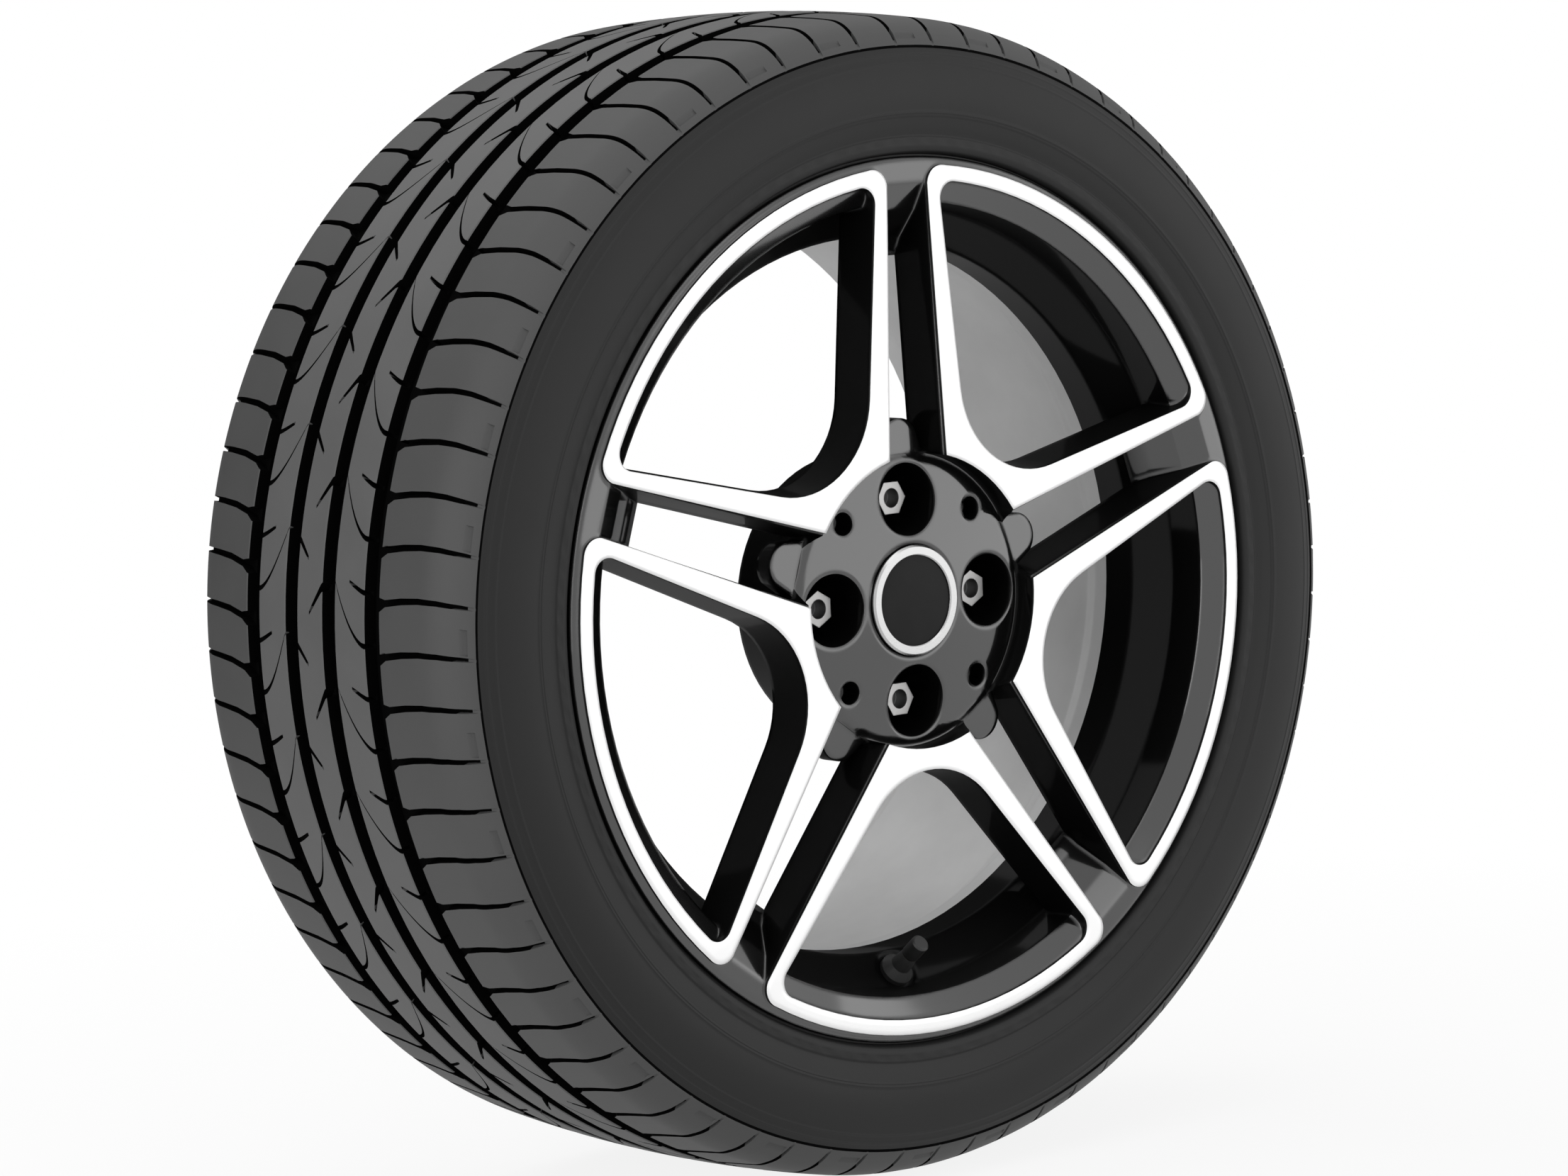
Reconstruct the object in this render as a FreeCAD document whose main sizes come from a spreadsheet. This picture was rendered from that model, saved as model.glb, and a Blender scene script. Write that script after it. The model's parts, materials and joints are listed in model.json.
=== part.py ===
"""Alloy wheel with its mounted tyre, wheel bolts, centre cap and tyre valve, in millimetres.

The spin axis is Y, the outer face looks along -Y and Z is up. The origin is the wheel's centre:
on the spin axis, halfway between the two flanges. Lengths along the axis towards the outer face
are called heights, so a height of 100 lies at Y = -100.
"""
import FreeCAD
import Part
import Sketcher
import math
import os

DIMENSIONS = {
    # Rim, flange to flange
    "rim_width": 228.6,
    "flange_radius": 235.8,
    "flange_wall": 4.05,
    "rear_flange_wall": 5.5,
    "seat_radius": 218.3,
    "seat_width": 19.0,
    "hump_height": 1.6,
    "well_radius": 199.0,
    "well_width": 27.0,
    "barrel_radius": 208.0,
    "barrel_wall": 6.5,
    "seat_fall": 1.3,
    "lip_depth": 2.4,
    "lip_width": 3.0,
    "flange_corner": 0.8,
    "heel_height": 4.5,
    "heel_run": 4.0,
    "hump_run": 3.5,
    "rear_hump_run": 2.5,
    "wall_crest": 1.0,
    "wall_crest_run": 1.5,
    "well_ramp": 14.0,
    "rear_ramp": 11.0,
    "rear_round": 2.0,
    "rear_fall": 5.0,
    "rear_foot": 9.0,
    "rear_lean": 0.5,
    "rear_web": 3.0,
    "front_web": 7.0,
    # Outer face: five closed machined loops, each round a window
    "loop_count": 5,
    "loop_step": 2.0,
    "loop_radius": 231.3,
    "loop_corner": 10.0,
    "loop_side_angle": 38.4,
    "loop_hub_angle": 21.2,
    "window_radius": 223.3,
    "window_corner": 9.0,
    "window_side_angle": 41.2,
    "window_nose": 90.0,
    "window_nose_radius": 52.0,
    "window_draft": 3.0,
    "spoke_depth": 24.0,
    "rim_overlap": 2.5,
    "rim_inset": 4.5,
    "land_drop": 9.0,
    "spoke_flare": 8.0,
    "spoke_inset": 10.0,
    "boss_draft": 3.0,
    "cut_past": 2.0,
    # Channel between two loops, open through its floor
    "channel_hub_half": 19.5,
    "channel_rim_half": 14.2,
    "channel_start": 76.0,
    "channel_end": 229.0,
    "slot_end": 178.0,
    "slot_draft": 4.0,
    "rim_draft_share": 0.75,
    "ramp_top": 8.0,
    "ramp_low": 20.0,
    "ramp_top_share": 0.42,
    "ramp_low_share": 0.72,
    "draft_top_share": 0.35,
    "draft_low_share": 0.7,
    "tongue_half": 11.0,
    "tongue_root_half": 18.5,
    "tongue_end": 97.0,
    "tongue_sink": 6.8,
    "tongue_round": 6.0,
    "tongue_root": 12.0,
    # Hub
    "hub_radius": 78.7,
    "hub_sink": 6.0,
    "hub_crown_radius": 650.0,
    "hub_edge": 4.5,
    "hub_edge_drop": 2.5,
    "boss_radius": 76.0,
    "mount_height": 56.35,
    "bore_radius": 31.7,
    "bore_depth": 27.0,
    "bore_relief_radius": 33.4,
    "bore_relief_depth": 5.0,
    "bolt_count": 4,
    "bolt_circle_radius": 54.0,
    "bolt_pocket_radius": 19.5,
    "bolt_floor_radius": 17.5,
    "bolt_hole_radius": 7.3,
    "seat_web": 8.0,
    "cone_radius": 11.8,
    "pocket_web": 16.0,
    "pocket_mouth": 3.0,
    "blind_radius": 6.2,
    "blind_circle_radius": 63.6,
    "blind_depth": 16.0,
    # Wheel bolt
    "shank_radius": 5.9,
    "shank_length": 24.0,
    "shank_chamfer": 1.5,
    "hex_across": 17.0,
    "hex_height": 21.0,
    "bolt_collar": 3.0,
    "hex_socket_radius": 5.2,
    "hex_socket_depth": 9.0,
    "seat_gap": 0.3,
    "seat_angle": 30.0,
    # Centre cap
    "cap_recess_radius": 30.2,
    "cap_recess_depth": 10.0,
    "cap_land_radius": 27.5,
    "cap_gap": 0.6,
    "cap_plate": 5.0,
    "cap_hollow": 2.0,
    "cap_ring_band": 5.5,
    "cap_ring_height": 6.5,
    "ring_chamfer": 1.0,
    "ring_inner_chamfer": 0.6,
    "disc_gap": 0.15,
    "disc_sink": 1.2,
    "dome_share": 0.75,
    "cap_disc_crown": 1.2,
    "fit_gap": 0.3,
    "leg_count": 6,
    "leg_angle": 30.0,
    "leg_wall": 1.6,
    "leg_hook": 1.1,
    "leg_root": 1.0,
    "hook_length": 3.0,
    "spring_wire": 1.1,
    "spring_gap": 0.1,
    "spring_rise": 4.0,
    # Tyre
    "tyre_radius": 314.0,
    "tyre_half_width": 122.5,
    "tread_half_width": 100.0,
    "crown_drop": 5.0,
    "shoulder_drop": 14.0,
    "shoulder_run": 15.0,
    "widest_share": 0.412,
    "ridge_rise": 7.2,
    "ridge_half_width": 119.5,
    "ridge_fall": 1.0,
    "ridge_width": 5.0,
    "shoulder_run_share": 0.62,
    "shoulder_drop_share": 0.36,
    "flange_gap": 0.4,
    "bead_lean": 0.5,
    "bead_rise": 1.6,
    "bead_wall": 12.0,
    "bead_heel": 4.3,
    "bead_heel_rise": 4.6,
    "toe_fall": 0.9,
    "toe_height": 9.0,
    "inner_round": 6.0,
    "bead_gap": 0.3,
    "bead_width": 16.0,
    "groove_depth": 7.5,
    "groove_width": 11.4,
    "groove_flank": 1.2,
    "inner_groove": 16.3,
    "outer_groove": 52.1,
    "tread_base": 7.0,
    "side_wall": 9.0,
    "side_round": 1.6,
    "lateral_count": 72,
    "lateral_width": 3.6,
    "lateral_depth": 5.5,
    "lateral_lean": 9.0,
    "lateral_inset": 6.0,
    "lateral_floor_share": 0.3,
    # Valve, along its own axis from the middle of the rim wall
    "valve_tilt": 38.7,
    "valve_wall_top": 214.0,
    "valve_wall_height": 85.35,
    "valve_hole_radius": 5.65,
    "valve_spot_radius": 12.5,
    "valve_spot_depth": 1.5,
    "valve_cut_back": 3.0,
    "valve_cut_front": 9.0,
    "rubber_bulb_radius": 7.8,
    "rubber_bulb_length": 11.0,
    "bulb_chamfer": 2.0,
    "bulb_flat": 4.0,
    "skirt_height": 1.6,
    "neck_rise": 1.2,
    "neck_height": 6.0,
    "rubber_skirt_radius": 9.2,
    "rubber_tip_radius": 4.6,
    "rubber_length": 19.0,
    "stem_radius": 3.0,
    "thread_radius": 3.85,
    "thread_length": 9.0,
    "thread_chamfer": 0.7,
    "stem_bore_radius": 1.9,
    "core_bore_radius": 2.45,
    "core_length": 14.0,
    "core_sink": 4.0,
    "core_wall": 0.6,
    "core_end": 1.2,
    "pin_radius": 0.7,
    "pin_fit": 0.05,
    "pin_collar_radius": 1.5,
    "pin_collar": 1.0,
    "pin_sink": 0.6,
    "pin_tail": 1.0,
    "seal_fit": 0.02,
    "seal_radius": 1.7,
    "seal_height": 1.4,
    "coil_wire": 0.35,
    "coil_turns": 5,
    "dust_cap_wall": 1.0,
    "dust_cap_end": 1.6,
    "dust_cap_chamfer": 1.0,
    "dust_cap_gap": 0.4,
    "thread_gap": 0.15,
    "cap_seal_height": 0.9,
    "bond_gap": 0.05,
}


class Size:
    """A length or angle with its value and the spreadsheet expression that drives it."""

    def __init__(self, value, text):
        self.value = float(value)
        self.text = text

    @staticmethod
    def of(other):
        """Wrap a plain number."""
        return other if isinstance(other, Size) else Size(other, repr(float(other)))

    def __add__(self, other):
        other = Size.of(other)
        return Size(self.value + other.value, f"({self.text} + {other.text})")

    def __sub__(self, other):
        other = Size.of(other)
        return Size(self.value - other.value, f"({self.text} - {other.text})")

    def __mul__(self, other):
        other = Size.of(other)
        return Size(self.value * other.value, f"({self.text} * {other.text})")

    def __truediv__(self, other):
        other = Size.of(other)
        return Size(self.value / other.value, f"({self.text} / {other.text})")

    def __neg__(self):
        return Size(-self.value, f"(-1 * {self.text})")

    __radd__ = __add__
    __rmul__ = __mul__

    def __rsub__(self, other):
        return Size.of(other) - self


ZERO = Size(0.0, "0")


def root(size):
    """Square root of a size."""
    return Size(math.sqrt(size.value), f"sqrt({size.text})")


def sine(angle):
    """Sine of an angle in degrees."""
    return Size(math.sin(math.radians(angle.value)), f"sin({angle.text})")


def cosine(angle):
    """Cosine of an angle in degrees."""
    return Size(math.cos(math.radians(angle.value)), f"cos({angle.text})")


class Via:
    """Point that an arc passes between the vertices before and after it."""

    def __init__(self, x, y):
        self.point = (x, y)


doc = FreeCAD.newDocument("alloy_wheel")
sheet = doc.addObject("Spreadsheet::Sheet", "dims")
for row, (alias, number) in enumerate(DIMENSIONS.items(), start=1):
    sheet.set(f"A{row}", alias)
    sheet.set(f"B{row}", str(number))
    sheet.setAlias(f"B{row}", alias)
doc.recompute()
S = {alias: Size(number, f"dims.{alias}") for alias, number in DIMENSIONS.items()}


def new_body(label):
    """Empty body whose label names its file."""
    body = doc.addObject("PartDesign::Body", label)
    body.Label = label
    return body


def pin_point(sketch, geometry, end, x, y):
    """Tie one end of a piece of geometry to its place."""
    for axis, size, on_axis in (("X", x, -2), ("Y", y, -1)):
        size = Size.of(size)
        if size.text in (ZERO.text, "0.0"):
            sketch.addConstraint(Sketcher.Constraint("PointOnObject", geometry, end, on_axis))
            continue
        number = sketch.addConstraint(
            Sketcher.Constraint("Distance" + axis, -1, 1, geometry, end, size.value))
        sketch.setExpression(f"Constraints[{number}]", size.text)


def arc_through(first, via, last):
    """Anticlockwise arc through three points, and whether it runs from first to last."""
    points = [FreeCAD.Vector(x.value, y.value, 0) for x, y in (first, via, last)]
    circle = Part.Arc(*points).toShape().Curve
    centre = circle.Center
    angles = [math.atan2(point.y - centre.y, point.x - centre.x) for point in points]
    swept = [(angle - angles[0]) % (2 * math.pi) for angle in angles]
    forward = swept[1] < swept[2]
    start, stop = (angles[0], angles[2]) if forward else (angles[2], angles[0])
    base = Part.Circle(centre, FreeCAD.Vector(0, 0, 1), circle.Radius)
    return Part.ArcOfCircle(base, start, stop), forward


def draw(body, name, plane, outline, height=None, axis=None):
    """Closed sketch of lines and arcs on an origin plane of the body.

    A Via between two vertices makes their side an arc. The sketch is raised along the plane's
    normal by height. The axis, two points, becomes a construction line to turn about.
    """
    sketch = body.newObject("Sketcher::SketchObject", name)
    support = next(f for f in body.Origin.OriginFeatures if f.Role == plane)
    sketch.AttachmentSupport = [(support, "")]
    sketch.MapMode = "FlatFace"
    if height is not None:
        sketch.setExpression("AttachmentOffset.Base.z", height.text)
    corners = []
    vias = {}
    for item in outline:
        if isinstance(item, Via):
            vias[len(corners) - 1] = tuple(Size.of(c) for c in item.point)
        else:
            corners.append(tuple(c if c is ZERO else Size.of(c) for c in item))
    sides = []
    for index, first in enumerate(corners):
        last = corners[(index + 1) % len(corners)]
        if index in vias:
            arc, forward = arc_through(first, vias[index], last)
            sides.append((sketch.addGeometry(arc, False), 1 if forward else 2, 2 if forward else 1))
        else:
            ends = [FreeCAD.Vector(x.value, y.value, 0) for x, y in (first, last)]
            sides.append((sketch.addGeometry(Part.LineSegment(*ends), False), 1, 2))
    for index, (geometry, start, _) in enumerate(sides):
        before, _, stop = sides[index - 1]
        sketch.addConstraint(Sketcher.Constraint("Coincident", before, stop, geometry, start))
        pin_point(sketch, geometry, start, *corners[index])
        if index in vias:
            x, y = vias[index]
            point = sketch.addGeometry(Part.Point(FreeCAD.Vector(x.value, y.value, 0)), True)
            pin_point(sketch, point, 1, x, y)
            sketch.addConstraint(Sketcher.Constraint("PointOnObject", point, 1, geometry))
    if axis is not None:
        ends = [FreeCAD.Vector(Size.of(x).value, Size.of(y).value, 0) for x, y in axis]
        line = sketch.addGeometry(Part.LineSegment(*ends), True)
        for end, (x, y) in enumerate(axis, start=1):
            pin_point(sketch, line, end, x, y)
    return sketch


def turn(body, sketch, name, axis="H_Axis", cut=False, angle=None):
    """Revolve or groove a sketch about one of its axes."""
    feature = body.newObject("PartDesign::Groove" if cut else "PartDesign::Revolution", name)
    feature.Profile = sketch
    feature.ReferenceAxis = (sketch, [axis])
    feature.Angle = 360.0
    if angle is not None:
        feature.Midplane = True
        feature.setExpression("Angle", angle.text)
    return feature


def extrude(body, sketch, name, length, cut=False, reverse=False):
    """Pad or pocket a sketch by a bound length."""
    feature = body.newObject("PartDesign::Pocket" if cut else "PartDesign::Pad", name)
    feature.Profile = sketch
    feature.setExpression("Length", length.text)
    feature.Reversed = reverse
    feature.Refine = False
    return feature


def loft_cut(body, sections, name, ruled=True):
    """Cut the solid that runs through several sketches."""
    feature = body.newObject("PartDesign::SubtractiveLoft", name)
    feature.Profile = sections[0]
    feature.Sections = sections[1:]
    feature.Ruled = ruled
    return feature


def around(body, features, count, name):
    """Repeat features evenly round the spin axis."""
    spin_axis = next(f for f in body.Origin.OriginFeatures if f.Role == "Y_Axis")
    pattern = body.newObject("PartDesign::PolarPattern", name)
    pattern.Originals = features
    pattern.Axis = (spin_axis, [""])
    pattern.Angle = 360.0
    pattern.setExpression("Occurrences", count.text)
    pattern.Refine = False
    body.Tip = pattern
    doc.recompute()
    return pattern


# Heights and radii that several pieces share
flange_height = S["rim_width"] / 2
base_height = flange_height + S["flange_wall"]
face_height = base_height + S["loop_step"]
spoke_back = base_height - S["spoke_depth"]
clear_height = face_height + S["cut_past"]
hub_height = face_height - S["hub_sink"] - S["loop_step"]
pocket_floor = S["mount_height"] + S["pocket_web"]
cap_floor = hub_height - S["cap_recess_depth"]
land_back = S["mount_height"] + S["bore_depth"]


def fan(start, hub_via, side_angle, corner, radius):
    """Rounded fan that opens downwards: a hub-side arc, two straight sides and a rim arc.

    The start is the right-hand end of the hub-side arc, as sideways and radial distances. Each
    corner arc touches its side and the rim arc.
    """
    across, along = sine(side_angle), cosine(side_angle)
    first = (start[0] - corner * along, start[1] + corner * across)
    reach = first[0] * across + first[1] * along
    inner = radius - corner
    run = root(reach * reach - first[0] * first[0] - first[1] * first[1] + inner * inner) - reach
    centre = (first[0] + run * across, first[1] + run * along)
    side_end = (start[0] + run * across, start[1] + run * along)
    rim_end = (centre[0] * radius / inner, centre[1] * radius / inner)
    middle = (along + centre[0] / inner, centre[1] / inner - across)
    length = root(middle[0] * middle[0] + middle[1] * middle[1])
    corner_via = (centre[0] + corner * middle[0] / length, centre[1] + corner * middle[1] / length)
    return [
        (start[0], -start[1]),
        (side_end[0], -side_end[1]),
        Via(corner_via[0], -corner_via[1]),
        (rim_end[0], -rim_end[1]),
        Via(0.0, -radius),
        (-rim_end[0], -rim_end[1]),
        Via(-corner_via[0], -corner_via[1]),
        (-side_end[0], -side_end[1]),
        (-start[0], -start[1]),
        Via(0.0, -hub_via),
    ]


def window_outline(draft):
    """Window edge, drawn in by the draft."""
    nose_radius = S["window_nose_radius"] - draft
    middle = S["window_nose"] + S["window_nose_radius"]
    angle = S["window_side_angle"]
    start = (nose_radius * cosine(angle), middle - nose_radius * sine(angle))
    return fan(start, middle - nose_radius, angle, S["window_corner"], S["window_radius"])


def channel_outline(end, draft):
    """Four-sided channel between two loops, pointing up."""
    hub_half = S["channel_hub_half"] - draft
    rim_half = S["channel_rim_half"] - draft * S["rim_draft_share"]
    start = S["channel_start"] + draft
    return [(-hub_half, start), (hub_half, start), (rim_half, end), (-rim_half, end)]


def disc_profile():
    """Half section of the spoke disc and the hub boss."""
    return [
        (-base_height, ZERO),
        (-base_height, S["window_radius"] + S["rim_overlap"]),
        (-base_height + S["land_drop"], S["seat_radius"] - S["rim_inset"]),
        (-spoke_back - S["spoke_flare"], S["seat_radius"] - S["rim_inset"]),
        (-spoke_back, S["seat_radius"] - S["spoke_inset"]),
        (-spoke_back, S["boss_radius"] + S["boss_draft"]),
        (-S["mount_height"], S["boss_radius"]),
        (-S["mount_height"], ZERO),
    ]


def barrel_profile():
    """Section of the rim: flanges, bead seats, humps, well and barrel."""
    edge = flange_height
    wall = S["barrel_wall"]
    tan_tilt = sine(S["valve_tilt"]) / cosine(S["valve_tilt"])
    seat_in = edge - S["seat_width"]
    seat_low = S["seat_radius"] - S["seat_fall"]
    top_height, top = S["valve_wall_height"], S["valve_wall_top"]
    well_height = top_height - (top - S["well_radius"]) * tan_tilt
    well_end = well_height - S["well_width"]
    inner_top_height = top_height + wall * cosine(S["valve_tilt"])
    inner_top = top - wall * sine(S["valve_tilt"])
    well_inner = S["well_radius"] - wall
    inner_well_height = inner_top_height - (inner_top - well_inner) * tan_tilt
    rear = edge + S["rear_flange_wall"]
    flange = S["flange_radius"]
    corner = S["flange_corner"]
    hump = seat_low + S["hump_height"]
    return [
        (-base_height, S["window_radius"]),
        (-base_height, flange - S["lip_width"]),
        (-base_height + S["lip_depth"] / 2, flange - S["lip_width"] / 5),
        (-base_height + S["lip_depth"], flange),
        (-edge - corner, flange),
        (-edge, flange - corner),
        (-edge, S["seat_radius"] + S["heel_height"]),
        (-edge + S["heel_run"], S["seat_radius"]),
        (-seat_in, seat_low),
        (-seat_in + S["hump_run"], hump),
        (-top_height - S["wall_crest_run"], top + S["wall_crest"]),
        (-top_height, top),
        (-well_height, S["well_radius"]),
        (-well_end, S["well_radius"]),
        (-well_end + S["well_ramp"], S["barrel_radius"]),
        (seat_in - S["rear_ramp"], S["barrel_radius"]),
        (seat_in - S["rear_hump_run"] * 2, seat_low),
        (seat_in - S["rear_hump_run"], hump),
        (seat_in, seat_low),
        (edge - S["heel_run"], S["seat_radius"]),
        (edge, S["seat_radius"] + S["heel_height"]),
        (edge, flange - corner),
        (edge + corner, flange),
        (rear - S["rear_round"], flange),
        (rear, flange - S["rear_round"]),
        (rear, flange - S["rear_fall"]),
        (rear - S["rear_lean"], flange - S["rear_foot"]),
        (edge + S["rear_lean"], S["seat_radius"] - wall + S["rear_web"]),
        (edge - S["heel_run"], S["seat_radius"] - wall),
        (seat_in - S["rear_web"], S["seat_radius"] - wall - S["rear_round"]),
        (seat_in - S["well_ramp"], S["barrel_radius"] - wall),
        (-well_end + S["well_ramp"] + S["rear_round"], S["barrel_radius"] - wall),
        (-well_end, well_inner),
        (-inner_well_height, well_inner),
        (-inner_top_height, inner_top),
        (-base_height + S["front_web"], S["seat_radius"] - wall),
    ]


def hub_dish_profile():
    """Cut above the crowned hub face, out to the steep wall of the loops."""
    edge = S["hub_radius"] - S["hub_edge"]
    crown = S["hub_crown_radius"]
    half = edge / 2
    fall = crown - root(crown * crown - edge * edge)
    half_fall = crown - root(crown * crown - half * half)
    return [
        (-clear_height, ZERO),
        (-clear_height, S["hub_radius"]),
        (-hub_height + fall + S["hub_edge_drop"], S["hub_radius"]),
        (-hub_height + fall, edge),
        Via(-hub_height + half_fall, half),
        (-hub_height, ZERO),
    ]


def bolt_pocket_profile():
    """Cut for one bolt: pocket, cone seat and through hole, about the bolt's own axis."""
    middle = S["bolt_circle_radius"]
    cone_end = S["mount_height"] + S["seat_web"]
    return [
        (-clear_height, middle),
        (-clear_height, middle + S["bolt_pocket_radius"]),
        (-hub_height + S["pocket_mouth"], middle + S["bolt_pocket_radius"]),
        (-pocket_floor, middle + S["bolt_floor_radius"]),
        (-pocket_floor, middle + S["cone_radius"]),
        (-cone_end, middle + S["bolt_hole_radius"]),
        (-S["mount_height"] + S["cut_past"], middle + S["bolt_hole_radius"]),
        (-S["mount_height"] + S["cut_past"], middle),
    ]


def centre_bore_profile():
    """Cut for the cap, its clip land, the clips' relief and the hub spigot."""
    return [
        (-clear_height, ZERO),
        (-clear_height, S["cap_recess_radius"]),
        (-cap_floor, S["cap_recess_radius"]),
        (-cap_floor, S["cap_land_radius"]),
        (-land_back, S["cap_land_radius"]),
        (-land_back, S["bore_relief_radius"]),
        (-land_back + S["bore_relief_depth"], S["bore_relief_radius"]),
        (-land_back + S["bore_relief_depth"], S["bore_radius"]),
        (-S["mount_height"] + S["cut_past"], S["bore_radius"]),
        (-S["mount_height"] + S["cut_past"], ZERO),
    ]


def valve_point(along, aside):
    """Point in the axial plane below the axis, along and beside the valve's axis.

    The axis passes the middle of the sloping rim wall and points in towards the outer face.
    """
    across, reach = sine(S["valve_tilt"]), cosine(S["valve_tilt"])
    half_wall = S["barrel_wall"] / 2
    drop = (S["valve_wall_top"] - S["well_radius"]) / 2
    height = S["valve_wall_height"] - drop * across / reach + half_wall * reach
    radius = S["valve_wall_top"] - drop - half_wall * across
    return (-height - along * reach + aside * across, -radius + along * across + aside * reach)


def make_wheel():
    """One-piece casting: spoke disc, loops, windows, barrel, channels and hub."""
    body = new_body("alloy_wheel")
    disc = turn(body, draw(body, "disc_profile", "YZ_Plane", disc_profile()), "spoke_disc")
    hub_start = (S["hub_radius"] * sine(S["loop_hub_angle"]),
                 S["hub_radius"] * cosine(S["loop_hub_angle"]))
    loop = fan(hub_start, S["hub_radius"], S["loop_side_angle"], S["loop_corner"], S["loop_radius"])
    loop_sketch = draw(body, "loop_outline", "XZ_Plane", loop, base_height)
    loop_pad = extrude(body, loop_sketch, "loop", S["loop_step"])
    around(body, [loop_pad], S["loop_count"], "loops")
    front = draw(body, "window_front", "XZ_Plane", window_outline(ZERO), clear_height)
    back = draw(body, "window_back", "XZ_Plane", window_outline(S["window_draft"]),
                spoke_back - S["cut_past"])
    window = loft_cut(body, [front, back], "window")
    around(body, [window], S["loop_count"], "windows")
    turn(body, draw(body, "barrel_profile", "YZ_Plane", barrel_profile()), "barrel")
    ramp = S["channel_end"] - S["slot_end"]
    levels = (
        ("channel_mouth", clear_height, S["channel_end"], ZERO),
        ("channel_ramp", base_height - S["ramp_top"], S["channel_end"] - ramp * S["ramp_top_share"],
         S["slot_draft"] * S["draft_top_share"]),
        ("channel_floor", base_height - S["ramp_low"], S["channel_end"] - ramp * S["ramp_low_share"],
         S["slot_draft"] * S["draft_low_share"]),
        ("channel_slot", spoke_back - S["cut_past"], S["slot_end"], S["slot_draft"]),
    )
    sections = [draw(body, name, "XZ_Plane", channel_outline(end, draft), height)
                for name, height, end, draft in levels]
    channel = loft_cut(body, sections, "channel")
    around(body, [channel], S["loop_count"], "channels")
    tongue_top = hub_height - S["tongue_sink"]
    shoulder = S["tongue_end"] - S["tongue_round"]
    tongue_outline = [
        (-S["tongue_root_half"], S["hub_radius"] - S["tongue_root"]),
        (S["tongue_root_half"], S["hub_radius"] - S["tongue_root"]),
        (S["tongue_half"], shoulder),
        Via(0.0, S["tongue_end"]),
        (-S["tongue_half"], shoulder),
    ]
    tongue_sketch = draw(body, "tongue_outline", "XZ_Plane", tongue_outline, spoke_back)
    tongue = extrude(body, tongue_sketch, "tongue", tongue_top - spoke_back)
    around(body, [tongue], S["loop_count"], "tongues")
    turn(body, draw(body, "hub_dish_profile", "YZ_Plane", hub_dish_profile()), "hub_dish", cut=True)
    middle = S["bolt_circle_radius"]
    pocket_sketch = draw(body, "bolt_pocket_profile", "YZ_Plane", bolt_pocket_profile(),
                         axis=((-clear_height, middle), (ZERO, middle)))
    pocket = turn(body, pocket_sketch, "bolt_pocket", axis="Axis0", cut=True)
    around(body, [pocket], S["bolt_count"], "bolt_pockets")
    aside = S["blind_circle_radius"] / root(Size.of(2.0))
    blind = [
        (aside, aside - S["blind_radius"]),
        Via(aside + S["blind_radius"], aside),
        (aside, aside + S["blind_radius"]),
        Via(aside - S["blind_radius"], aside),
    ]
    blind_sketch = draw(body, "blind_outline", "XZ_Plane", blind, clear_height)
    hole = extrude(body, blind_sketch, "blind_hole", clear_height - hub_height + S["blind_depth"], cut=True)
    around(body, [hole], S["bolt_count"], "blind_holes")
    turn(body, draw(body, "centre_bore_profile", "YZ_Plane", centre_bore_profile()), "centre_bore", cut=True)
    inside = S["barrel_wall"] / 2
    spot = inside - S["valve_spot_depth"]
    valve_cut = [
        valve_point(-2 * inside - S["valve_cut_back"], ZERO),
        valve_point(-2 * inside - S["valve_cut_back"], S["valve_hole_radius"]),
        valve_point(spot, S["valve_hole_radius"]),
        valve_point(spot, S["valve_spot_radius"]),
        valve_point(inside + S["valve_cut_front"], S["valve_spot_radius"]),
        valve_point(inside + S["valve_cut_front"], ZERO),
    ]
    valve_sketch = draw(body, "valve_hole_profile", "YZ_Plane", valve_cut,
                        axis=(valve_cut[0], valve_cut[-1]))
    turn(body, valve_sketch, "valve_hole", axis="Axis0", cut=True)
    return body


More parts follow.
